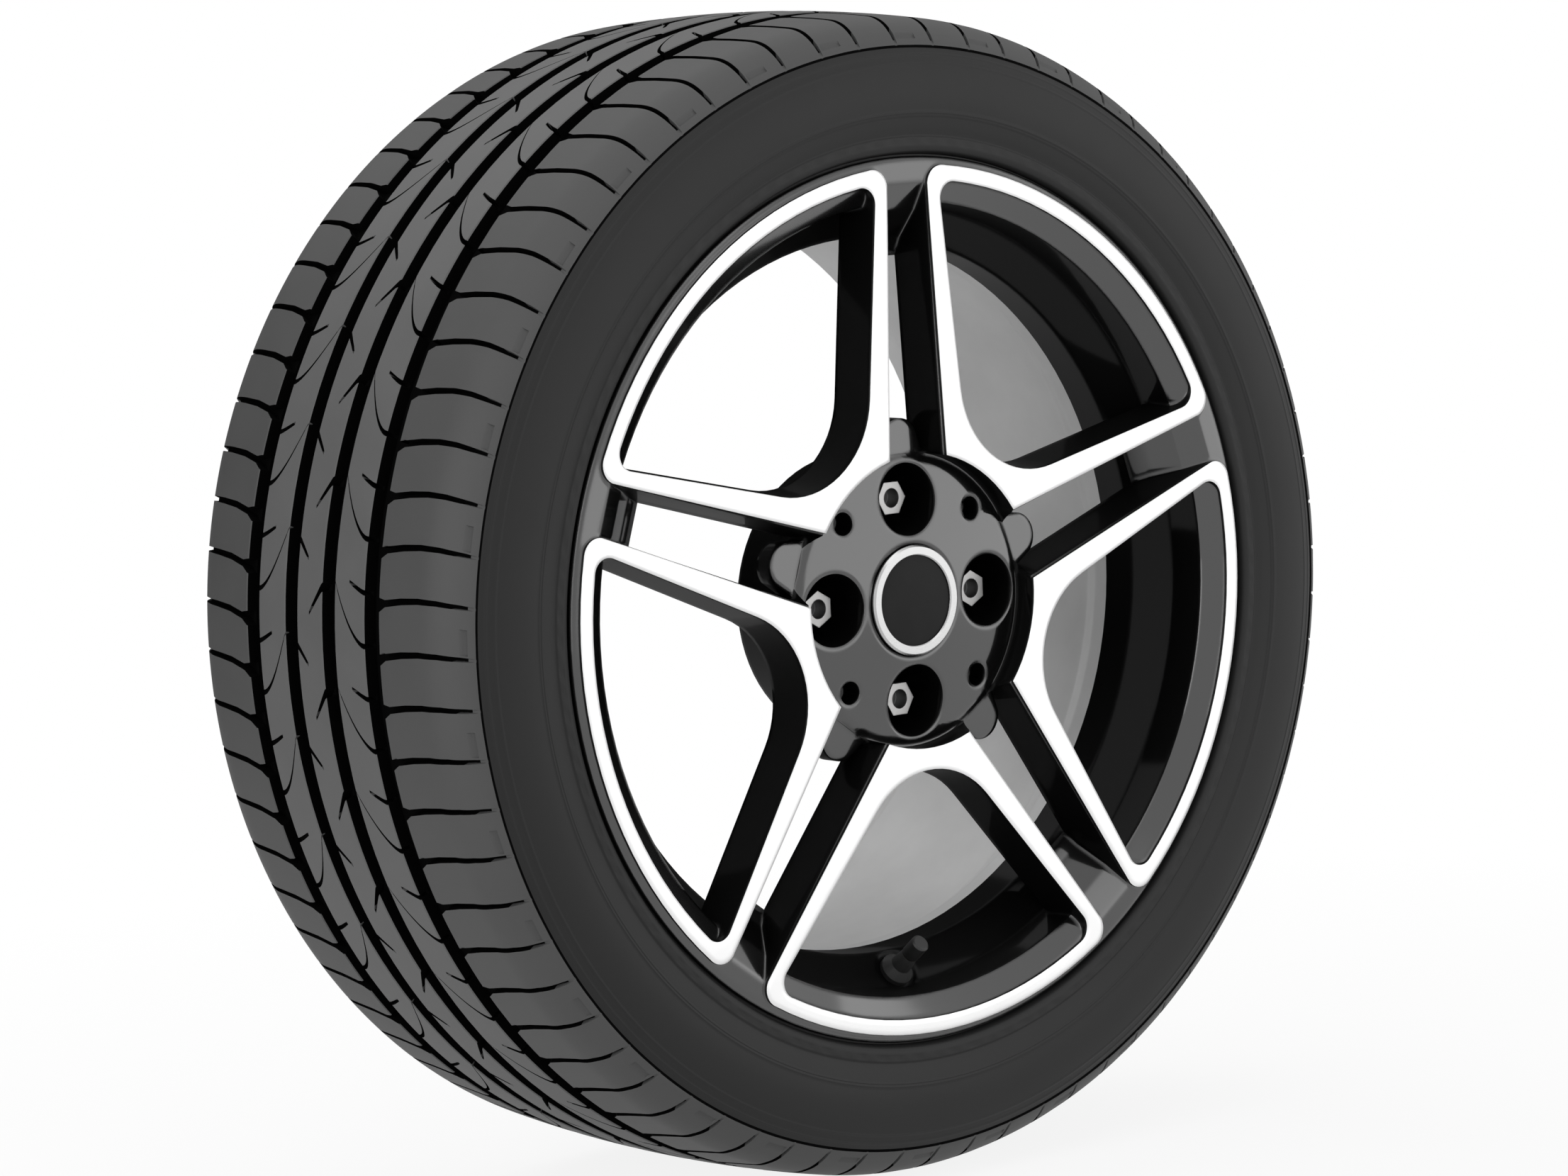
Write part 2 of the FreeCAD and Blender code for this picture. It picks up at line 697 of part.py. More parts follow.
def tyre_profile():
    """Section of the tyre: beads, side walls, shoulders and a crown with four grooves."""
    side = S["tyre_half_width"]
    tread = S["tread_half_width"]
    crown = S["tyre_radius"]
    edge = flange_height - S["bead_gap"]
    seat = S["seat_radius"] + S["bead_gap"]
    flange = S["flange_radius"] + S["bead_gap"] + S["flange_gap"]

    def crown_at(y):
        """Radius of the crown over a place across the tread."""
        share = y / tread
        return crown - S["crown_drop"] * share * share

    half = S["groove_width"] / 2
    flank = S["groove_flank"]
    front = []
    for middle in (S["outer_groove"], S["inner_groove"]):
        for place, depth in ((middle + half, ZERO), (middle + half - flank, S["groove_depth"]),
                             (middle - half + flank, S["groove_depth"]), (middle - half, ZERO)):
            front.append((place, crown_at(place) - depth))
    shoulder_out = tread + S["shoulder_run"]
    shoulder_radius = crown - S["crown_drop"] - S["shoulder_drop"]
    inside_side = side - S["side_wall"]
    widest = S["flange_radius"] + (crown - S["flange_radius"]) * S["widest_share"]
    ridge = S["flange_radius"] + S["ridge_rise"]
    outer = [
        (edge, flange),
        (base_height - S["bead_lean"], flange + S["bead_rise"]),
        (S["ridge_half_width"], ridge),
        (S["ridge_half_width"] - S["ridge_fall"], ridge + S["ridge_width"]),
        (side, widest),
        (side - S["side_round"], (widest + shoulder_radius) / 2),
        (shoulder_out, shoulder_radius),
        (tread + S["shoulder_run"] * S["shoulder_run_share"],
         crown - S["crown_drop"] - S["shoulder_drop"] * S["shoulder_drop_share"]),
        (tread, crown - S["crown_drop"]),
    ]
    inner = [
        (edge - S["bead_wall"], ridge - S["ridge_width"]),
        (inside_side, widest),
        (tread - S["inner_round"], crown - S["groove_depth"] - S["tread_base"] - S["inner_round"]),
    ]
    bead = [
        (edge - S["bead_width"], seat - S["toe_fall"]),
        (edge - S["bead_heel"], seat),
        (edge, seat + S["bead_heel_rise"]),
    ]
    crown_inside = crown - S["groove_depth"] - S["tread_base"]

    toe = [(edge - S["bead_width"], seat + S["toe_height"])]
    rear = front[::-1] + outer[::-1] + bead[::-1] + toe + inner
    fore = [(-y, radius) for y, radius in reversed(rear)]
    return rear + [(ZERO, crown_inside)] + fore


def make_tyre():
    """Tubeless tyre with four grooves round it and leaning lateral grooves in both shoulders."""
    body = new_body("tyre")
    turn(body, draw(body, "tyre_profile", "YZ_Plane", tyre_profile()), "carcass")
    floor = S["tyre_radius"] - S["crown_drop"] - S["shoulder_drop"] * S["lateral_floor_share"]
    floor -= S["lateral_depth"]
    start = S["outer_groove"] + S["groove_width"] / 2 + S["lateral_inset"]
    stop = S["tyre_half_width"]
    half = S["lateral_width"] / 2
    lean = S["lateral_lean"]
    phase = S["tyre_radius"] * math.pi / S["lateral_count"]
    for name, sign in (("outer", -1.0), ("inner", 1.0)):
        slot = [
            (phase - half, start * sign),
            (phase + half, start * sign),
            (phase + half + lean, stop * sign),
            (phase - half + lean, stop * sign),
        ]
        sketch = draw(body, f"{name}_lateral_outline", "XY_Plane", slot, floor)
        groove = extrude(body, sketch, f"{name}_lateral", S["lateral_depth"] * 4, cut=True, reverse=True)
        around(body, [groove], S["lateral_count"], f"{name}_laterals")
    return body


def make_bolts():
    """Four wheel bolts with hexagon heads, cone seats and hollow head ends."""
    body = new_body("wheel_bolts")
    middle = S["bolt_circle_radius"]
    seat = S["seat_gap"] / sine(S["seat_angle"])
    cone_end = S["mount_height"] + S["seat_web"] + seat
    cone_start = pocket_floor + seat
    collar_top = cone_start + S["bolt_collar"]
    tip = S["mount_height"] - S["shank_length"]
    collar = S["cone_radius"]
    turned = [
        (-collar_top, middle),
        (-collar_top, middle + collar),
        (-cone_start, middle + collar),
        (-cone_end, middle + S["bolt_hole_radius"]),
        (-cone_end, middle + S["shank_radius"]),
        (-tip - S["shank_chamfer"], middle + S["shank_radius"]),
        (-tip, middle + S["shank_radius"] - S["shank_chamfer"]),
        (-tip, middle),
    ]
    shaft_sketch = draw(body, "bolt_profile", "YZ_Plane", turned,
                        axis=((-collar_top, middle), (-tip, middle)))
    shaft = turn(body, shaft_sketch, "bolt_shaft", axis="Axis0")
    half = S["hex_across"] / 2
    side = half / cosine(Size.of(30.0))
    hexagon = [
        (side, middle), (side / 2, middle + half), (-side / 2, middle + half),
        (-side, middle), (-side / 2, middle - half), (side / 2, middle - half),
    ]
    hex_sketch = draw(body, "hex_outline", "XZ_Plane", hexagon, collar_top)
    head = extrude(body, hex_sketch, "hex_head", S["hex_height"])
    socket_radius = S["hex_socket_radius"]
    socket = [
        (ZERO, middle - socket_radius),
        Via(socket_radius, middle),
        (ZERO, middle + socket_radius),
        Via(-socket_radius, middle),
    ]
    socket_sketch = draw(body, "socket_outline", "XZ_Plane", socket, collar_top + S["hex_height"])
    hollow = extrude(body, socket_sketch, "head_hollow", S["hex_socket_depth"], cut=True)
    around(body, [shaft, head, hollow], S["bolt_count"], "bolts")
    return body


def make_centre_cap():
    """Centre cap: moulded body with clip legs, bright ring, domed bare disc and wire spring ring."""
    outer = S["cap_recess_radius"] - S["cap_gap"]
    seat = cap_floor + S["fit_gap"]
    plate_top = seat + S["cap_plate"]
    leg_outer = S["cap_land_radius"] - S["fit_gap"]
    leg_inner = leg_outer - S["leg_wall"]
    hook_front = land_back - S["fit_gap"]
    ring_inner = outer - S["cap_ring_band"]
    body = new_body("cap_body")
    plate = [
        (-plate_top, ZERO),
        (-plate_top, outer),
        (-seat, outer),
        (-seat, leg_inner),
        (-seat - S["cap_hollow"], leg_inner),
        (-seat - S["cap_hollow"], ZERO),
    ]
    turn(body, draw(body, "plate_profile", "YZ_Plane", plate), "plate")
    leg = [
        (-seat - S["leg_root"], leg_inner),
        (-seat - S["leg_root"], leg_outer),
        (-hook_front, leg_outer),
        (-hook_front, leg_outer + S["leg_hook"]),
        (-hook_front + S["hook_length"], leg_outer),
        (-hook_front + S["hook_length"], leg_inner),
    ]
    leg_sketch = draw(body, "leg_profile", "YZ_Plane", leg)
    clip = turn(body, leg_sketch, "clip_leg", angle=S["leg_angle"])
    around(body, [clip], S["leg_count"], "clip_legs")
    ring_top = plate_top + S["cap_ring_height"]
    ring = new_body("cap_ring")
    ring_profile = [
        (-plate_top, ring_inner),
        (-plate_top, outer),
        (-ring_top + S["ring_chamfer"], outer),
        (-ring_top, outer - S["ring_chamfer"]),
        (-ring_top, ring_inner + S["ring_inner_chamfer"]),
        (-ring_top + S["ring_inner_chamfer"], ring_inner),
    ]
    turn(ring, draw(ring, "ring_profile", "YZ_Plane", ring_profile), "trim_ring")
    disc = new_body("cap_disc")
    disc_edge = ring_inner - S["disc_gap"]
    rim_top = ring_top - S["disc_sink"]
    rise = S["cap_disc_crown"]
    disc_profile_points = [
        (-plate_top, ZERO),
        (-plate_top, disc_edge),
        (-rim_top, disc_edge),
        (-rim_top - rise * S["dome_share"], disc_edge / 2),
        (-rim_top - rise, ZERO),
    ]
    turn(disc, draw(disc, "disc_profile", "YZ_Plane", disc_profile_points), "domed_disc")
    spring = new_body("cap_spring")
    wire = S["spring_wire"]
    wire_outer = leg_inner - S["spring_gap"]
    wire_front = land_back + S["spring_rise"] + wire / 2
    wire_profile = [
        (-wire_front, wire_outer - wire),
        (-wire_front, wire_outer),
        (-wire_front + wire, wire_outer),
        (-wire_front + wire, wire_outer - wire),
    ]
    turn(spring, draw(spring, "wire_profile", "YZ_Plane", wire_profile), "wire_ring")
    return [body, ring, disc, spring]


def seat_on_valve_axis(piece):
    """Stand a piece that is drawn along its own Z axis on the valve's axis."""
    base_y, base_z = valve_point(ZERO, ZERO)
    lean = 90.0 - S["valve_tilt"]
    piece.Placement = FreeCAD.Placement(
        FreeCAD.Vector(0, base_y.value, base_z.value),
        FreeCAD.Rotation(FreeCAD.Vector(1, 0, 0), lean.value))
    piece.setExpression("Placement.Base.y", base_y.text)
    piece.setExpression("Placement.Base.z", base_z.text)
    piece.setExpression("Placement.Rotation.Angle", lean.text)
    return piece


def turned_on_valve_axis(label, outline):
    """Turned piece of the valve, from a half section of radius and place along the axis."""
    body = new_body(label)
    sketch = draw(body, f"{label}_profile", "XZ_Plane", outline)
    turn(body, sketch, f"{label}_turned", axis="V_Axis")
    return seat_on_valve_axis(body)


def make_valve():
    """Snap-in valve: rubber body, brass stem, core with sprung pin and seal, and dust cap."""
    wall = S["barrel_wall"] / 2
    gap = S["fit_gap"]
    hole = S["valve_hole_radius"] - gap
    bond = S["stem_radius"] + S["bond_gap"]
    rubber_end = S["rubber_length"]
    rubber = turned_on_valve_axis("valve_body", [
        (bond, -wall - S["rubber_bulb_length"]),
        (S["rubber_bulb_radius"] - S["bulb_chamfer"], -wall - S["rubber_bulb_length"]),
        (S["rubber_bulb_radius"], -wall - S["bulb_flat"]),
        (S["rubber_bulb_radius"], -wall - gap),
        (hole, -wall - gap),
        (hole, wall - S["valve_spot_depth"] + gap),
        (S["rubber_skirt_radius"], wall - S["valve_spot_depth"] + gap),
        (S["rubber_skirt_radius"], wall + S["skirt_height"]),
        (S["rubber_tip_radius"] + S["neck_rise"], wall + S["neck_height"]),
        (S["rubber_tip_radius"], rubber_end),
        (bond, rubber_end),
    ])
    stem_end = rubber_end + gap + S["thread_length"]
    core_seat = stem_end - S["core_length"] - S["core_sink"]
    stem = turned_on_valve_axis("valve_stem", [
        (S["stem_bore_radius"], -wall - S["rubber_bulb_length"]),
        (S["stem_radius"], -wall - S["rubber_bulb_length"]),
        (S["stem_radius"], rubber_end + gap),
        (S["thread_radius"], rubber_end + gap),
        (S["thread_radius"], stem_end - S["thread_chamfer"]),
        (S["thread_radius"] - S["thread_chamfer"], stem_end),
        (S["core_bore_radius"], stem_end),
        (S["core_bore_radius"], core_seat),
        (S["stem_bore_radius"], core_seat),
    ])
    core_low = core_seat + S["bond_gap"]
    core_high = core_low + S["core_length"]
    core_radius = S["core_bore_radius"] - S["bond_gap"]
    guide = S["pin_radius"] + S["pin_fit"]
    chamber = core_radius - S["core_wall"]
    core = turned_on_valve_axis("valve_core", [
        (guide, core_low),
        (core_radius, core_low),
        (core_radius, core_high),
        (guide, core_high),
        (guide, core_high - S["core_end"]),
        (chamber, core_high - S["core_end"]),
        (chamber, core_low + S["core_end"]),
        (guide, core_low + S["core_end"]),
    ])
    collar_high = core_high - S["core_end"] - gap
    collar_low = collar_high - S["pin_collar"]
    seal_high = core_low - gap
    seal_low = seal_high - S["seal_height"]
    pin = turned_on_valve_axis("valve_pin", [
        (ZERO, seal_low - S["pin_tail"]),
        (S["pin_radius"], seal_low - S["pin_tail"]),
        (S["pin_radius"], collar_low),
        (S["pin_collar_radius"], collar_low),
        (S["pin_collar_radius"], collar_high),
        (S["pin_radius"], collar_high),
        (S["pin_radius"], stem_end - S["pin_sink"]),
        (ZERO, stem_end - S["pin_sink"]),
    ])
    seal = turned_on_valve_axis("valve_seal", [
        (S["pin_radius"] + S["seal_fit"], seal_low),
        (S["seal_radius"], seal_low),
        (S["seal_radius"], seal_high),
        (S["pin_radius"] + S["seal_fit"], seal_high),
    ])
    coil_low = core_low + S["core_end"] + S["coil_wire"]
    coil_high = collar_low - S["coil_wire"]
    spring = new_body("valve_spring")
    half = S["coil_wire"] / 2
    coil_radius = (guide + chamber) / 2
    wire = draw(spring, "coil_section", "XZ_Plane", [
        (coil_radius - half, coil_low - half), (coil_radius + half, coil_low - half),
        (coil_radius + half, coil_low + half), (coil_radius - half, coil_low + half)])
    coil = spring.newObject("PartDesign::AdditiveHelix", "coil")
    coil.Profile = wire
    coil.ReferenceAxis = (wire, ["V_Axis"])
    coil.Mode = "height-turns-angle"
    coil.setExpression("Height", (coil_high - coil_low).text)
    coil.setExpression("Turns", S["coil_turns"].text)
    seat_on_valve_axis(spring)
    cap_inner = S["thread_radius"] + S["thread_gap"]
    cap_outer = cap_inner + S["dust_cap_wall"]
    cap_low = rubber_end + 2 * gap + S["dust_cap_gap"]
    seal_disc_low = stem_end + gap
    seal_disc_high = seal_disc_low + S["cap_seal_height"]
    cap_high = seal_disc_high + S["bond_gap"] + S["dust_cap_end"]
    dust_cap = turned_on_valve_axis("valve_cap", [
        (cap_inner, cap_low),
        (cap_outer, cap_low),
        (cap_outer, cap_high - S["dust_cap_chamfer"]),
        (cap_outer - S["dust_cap_chamfer"], cap_high),
        (ZERO, cap_high),
        (ZERO, seal_disc_high + S["bond_gap"]),
        (cap_inner, seal_disc_high + S["bond_gap"]),
    ])
    cap_seal = turned_on_valve_axis("valve_cap_seal", [
        (ZERO, seal_disc_low),
        (cap_inner - S["bond_gap"], seal_disc_low),
        (cap_inner - S["bond_gap"], seal_disc_high),
        (ZERO, seal_disc_high),
    ])
    return [rubber, stem, core, pin, seal, spring, dust_cap, cap_seal]


def check_document(pieces):
    """Stop if any object failed or any piece has no valid solid."""
    for item in doc.Objects:
        failed = [state for state in item.State if state in ("Invalid", "Error")]
        if failed:
            raise RuntimeError(f"{item.Name} is {failed[0]}")
    for piece in pieces:
        if piece.Shape.isNull() or not piece.Shape.isValid() or not piece.Shape.Solids:
            raise RuntimeError(f"{piece.Label} has no valid solid")


def main():
    """Build every piece, check it and write it."""
    pieces = [make_wheel(), make_tyre(), make_bolts()] + make_centre_cap() + make_valve()
    doc.recompute()
    check_document(pieces)
    os.makedirs("parts", exist_ok=True)
    for piece in pieces:
        piece.Shape.exportStep(f"parts/{piece.Label}.step")
        print(piece.Label, len(piece.Shape.Solids), round(piece.Shape.Volume, 1))


main()
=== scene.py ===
"""Looks of an alloy wheel with its mounted tyre, wheel bolts, centre cap and valve, in metres.

The wheel spins about Y, its outer face looks along -Y and Z is up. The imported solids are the
frame. The tyre, the cap disc and the valve's spring are drawn again, and every node gets its
finish here.
"""

import json
import logging
import math
from dataclasses import dataclass, replace
from enum import Enum
from typing import Optional

import bpy
import numpy as np
from mathutils import Matrix, Vector

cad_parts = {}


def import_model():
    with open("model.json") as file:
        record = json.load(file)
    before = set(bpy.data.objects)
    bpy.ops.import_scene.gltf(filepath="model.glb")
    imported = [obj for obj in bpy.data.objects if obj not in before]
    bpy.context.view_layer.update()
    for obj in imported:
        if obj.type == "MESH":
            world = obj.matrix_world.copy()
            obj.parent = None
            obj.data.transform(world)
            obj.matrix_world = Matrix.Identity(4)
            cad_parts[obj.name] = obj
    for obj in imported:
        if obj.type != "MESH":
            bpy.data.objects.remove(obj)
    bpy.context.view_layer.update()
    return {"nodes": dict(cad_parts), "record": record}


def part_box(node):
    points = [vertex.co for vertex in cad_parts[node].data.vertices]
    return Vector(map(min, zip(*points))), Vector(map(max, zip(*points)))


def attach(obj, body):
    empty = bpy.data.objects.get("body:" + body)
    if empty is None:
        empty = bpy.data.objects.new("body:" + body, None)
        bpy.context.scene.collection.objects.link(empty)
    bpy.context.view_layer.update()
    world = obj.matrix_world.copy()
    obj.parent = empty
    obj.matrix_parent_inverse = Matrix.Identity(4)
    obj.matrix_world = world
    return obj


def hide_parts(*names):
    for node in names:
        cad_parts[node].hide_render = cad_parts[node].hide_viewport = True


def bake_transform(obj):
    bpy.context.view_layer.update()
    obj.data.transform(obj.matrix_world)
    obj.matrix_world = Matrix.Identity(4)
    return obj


LOG = logging.getLogger("wheel")
MM = 0.001
TURN = 2.0 * math.pi
# Faces in cuts take the painted shade of the grooves, a darker rubber than the tread.
IN_CUT = 0.45  # a face lies in a cut where its corners are sunk by more than this on average


class Side(Enum):
    """The side of the tyre that a tread ring lies on; the value is the sign of its Y."""

    OUTER = -1.0
    INNER = 1.0


class Wiring:
    """One node tree and the few moves that wire it.

    Args:
        tree: The node tree of a material, a world or a node group.
    """

    def __init__(self, tree: bpy.types.NodeTree) -> None:
        self.tree = tree

    def add(self, kind: str, inputs: Optional[dict] = None, **settings: object) -> bpy.types.Node:
        """Add a node, set its properties and fill or link its inputs.

        Args:
            kind: Blender's identifier of the node.
            inputs: Input name or index to a plain value or to an output socket.
            settings: Properties of the node.

        Returns:
            The new node.
        """
        node = self.tree.nodes.new(kind)
        for name, value in settings.items():
            setattr(node, name, value)
        for key, value in (inputs or {}).items():
            if isinstance(value, bpy.types.NodeSocket):
                self.tree.links.new(value, node.inputs[key])
            else:
                node.inputs[key].default_value = value
        return node

    def link(self, output: bpy.types.NodeSocket, node: bpy.types.Node, name: str) -> None:
        """Link an output to the named input of a node."""
        self.tree.links.new(output, node.inputs[name])

    def math(self, operation: str, *values: object, clamp: bool = False) -> bpy.types.NodeSocket:
        """Return the output of a Math node over the given values or sockets."""
        node = self.add("ShaderNodeMath", dict(enumerate(values)), operation=operation, use_clamp=clamp)
        return node.outputs[0]

    def blend(self, share: object, first: object, second: object) -> bpy.types.NodeSocket:
        """Return first where share is 0 and second where it is 1, for plain values."""
        node = self.add("ShaderNodeMix", {0: share, 2: first, 3: second}, data_type="FLOAT")
        return node.outputs[0]

    def blend_colour(self, share: object, first: object, second: object) -> bpy.types.NodeSocket:
        """Return first where share is 0 and second where it is 1, for colours."""
        node = self.add("ShaderNodeMix", {0: share, 6: first, 7: second}, data_type="RGBA")
        return node.outputs[2]

    def add_grain(self, grain: bpy.types.NodeTree, place: bpy.types.NodeSocket, coarse: float,
                  fine: float) -> bpy.types.NodeOutputs:
        """Add the shared grain.

        Args:
            grain: The grain group.
            place: Coordinates that the grain follows.
            coarse: Scale of the cloud, in cycles per metre.
            fine: Scale of the speckle, in cycles per metre.

        Returns:
            The outputs Cloud and Speckle.
        """
        node = self.add("ShaderNodeGroup", node_tree=grain)
        self.link(place, node, "Vector")
        node.inputs["Coarse"].default_value = coarse
        node.inputs["Fine"].default_value = fine
        return node.outputs

    def seen(self) -> bpy.types.NodeSocket:
        """Return 1 for rays of the camera, of reflections and of transmission, and 0 for light."""
        path = self.add("ShaderNodeLightPath").outputs
        direct = self.math("ADD", path["Is Camera Ray"], path["Is Glossy Ray"], clamp=True)
        return self.math("ADD", direct, path["Is Transmission Ray"], clamp=True)


def new_material(name: str) -> tuple[bpy.types.Material, Wiring, bpy.types.Node]:
    """Start a material.

    Args:
        name: Name of the material.

    Returns:
        The material, the wiring of its tree and its shader node.
    """
    material = bpy.data.materials.new(name)
    material.use_nodes = True
    return material, Wiring(material.node_tree), material.node_tree.nodes["Principled BSDF"]


def new_object(name: str, data: bpy.types.ID) -> bpy.types.Object:
    """Put new data into the scene.

    Args:
        name: Name of the object.
        data: Its mesh, lamp or camera.

    Returns:
        The object, at the origin.
    """
    made = bpy.data.objects.new(name, data)
    bpy.context.scene.collection.objects.link(made)
    return made


def grey(level: float, warm: float = 0.0) -> tuple[float, float, float, float]:
    """Return a grey of a linear level, a little warmer where warm is above 0."""
    return (level * (1.0 + warm), level, level * (1.0 - warm), 1.0)


def spread(colour: tuple[float, ...], share: float) -> tuple[tuple[float, ...], tuple[float, ...]]:
    """Return a colour made darker and made lighter by a share of itself."""
    dark = tuple(c * (1.0 - share) for c in colour[:3]) + (1.0,)
    light = tuple(min(c * (1.0 + share), 1.0) for c in colour[:3]) + (1.0,)
    return dark, light


def make_grain_group() -> bpy.types.NodeTree:
    """Build the grain that all finishes share: a coarse cloud and a fine speckle.

    Returns:
        The node group with inputs Vector, Coarse, Fine and outputs Cloud, Speckle.
    """
    group = bpy.data.node_groups.new("surface_grain", "ShaderNodeTree")
    face = group.interface
    face.new_socket("Vector", in_out="INPUT", socket_type="NodeSocketVector")
    face.new_socket("Coarse", in_out="INPUT", socket_type="NodeSocketFloat")
    face.new_socket("Fine", in_out="INPUT", socket_type="NodeSocketFloat")
    face.new_socket("Cloud", in_out="OUTPUT", socket_type="NodeSocketFloat")
    face.new_socket("Speckle", in_out="OUTPUT", socket_type="NodeSocketFloat")
    wiring = Wiring(group)
    entry = wiring.add("NodeGroupInput").outputs
    cloud = wiring.add("ShaderNodeTexNoise", {"Vector": entry["Vector"], "Scale": entry["Coarse"],
                                              "Detail": 4.0, "Roughness": 0.55})
    speckle = wiring.add("ShaderNodeTexNoise", {"Vector": entry["Vector"], "Scale": entry["Fine"],
                                                "Detail": 2.0, "Roughness": 0.6})
    wiring.add("NodeGroupOutput", {"Cloud": cloud.outputs[0], "Speckle": speckle.outputs[0]})
    return group


@dataclass(frozen=True)
class Finish:
    """A plain finish: one colour that varies softly, with grain in its gloss and relief.

    Attributes:
        name: Name of the material.
        level: Linear grey level of the colour.
        warm: Share by which red is raised and blue is lowered.
        tint: A full colour that takes the place of the grey level.
        metal: Metallic value.
        gloss: Roughness.
        vary: Share by which the colour varies over the cloud.
        vary_gloss: Amount by which the roughness varies over the cloud.
        coarse: Scale of the cloud, in cycles per metre.
        fine: Scale of the speckle, in cycles per metre.
        relief: Depth of the speckle's relief, in metres.
        shine: Level of the plain reflection, where 0.5 is that of common plastics.
        round: Radius by which edges are softened, in metres.
        shade_from: Places beyond this Y have the grey level shade_level, a painted shade deeper in a recess.
        shade_level: Grey level of the painted shade behind shade_from.
    """

    name: str
    level: float = 0.05
    warm: float = 0.0
    tint: Optional[tuple[float, float, float]] = None
    metal: float = 0.0
    gloss: float = 0.5
    vary: float = 0.15
    vary_gloss: float = 0.08
    coarse: float = 60.0
    fine: float = 1800.0
    relief: float = 0.00002
    shine: float = 0.5
    round: float = 0.0
    shade_from: Optional[float] = None
    shade_level: float = 0.0

    def make(self, grain: bpy.types.NodeTree) -> bpy.types.Material:
        """Build the material.

        Args:
            grain: The shared grain group.

        Returns:
            The material, on Object coordinates.
        """
        material, wiring, shader = new_material(self.name)
        place = wiring.add("ShaderNodeTexCoord").outputs["Object"]
        noise = wiring.add_grain(grain, place, self.coarse, self.fine)
        cloud = noise["Cloud"]
        base = (*self.tint, 1.0) if self.tint else grey(self.level, self.warm)
        colour = wiring.blend_colour(cloud, *spread(base, self.vary))
        # Places behind shade_from take a darker grey: a painted shade in a recess.
        if self.shade_from is not None:
            across = wiring.add("ShaderNodeSeparateXYZ", {0: place}).outputs["Y"]
            sunk = wiring.math("GREATER_THAN", across, self.shade_from)
            colour = wiring.blend_colour(sunk, colour, grey(self.shade_level))
        wiring.link(colour, shader, "Base Color")
        rough = wiring.math("MULTIPLY_ADD", cloud, self.vary_gloss, self.gloss - self.vary_gloss / 2,
                            clamp=True)
        wiring.link(rough, shader, "Roughness")
        shader.inputs["Metallic"].default_value = self.metal
        shader.inputs["Specular IOR Level"].default_value = self.shine
        bump = wiring.add("ShaderNodeBump", {"Height": noise["Speckle"], "Distance": self.relief,
                                             "Strength": 1.0})
        if self.round > 0.0:
            soft = wiring.add("ShaderNodeBevel", {"Radius": self.round}, samples=4)
            wiring.link(soft.outputs[0], bump, "Normal")
        wiring.link(bump.outputs[0], shader, "Normal")
        return material


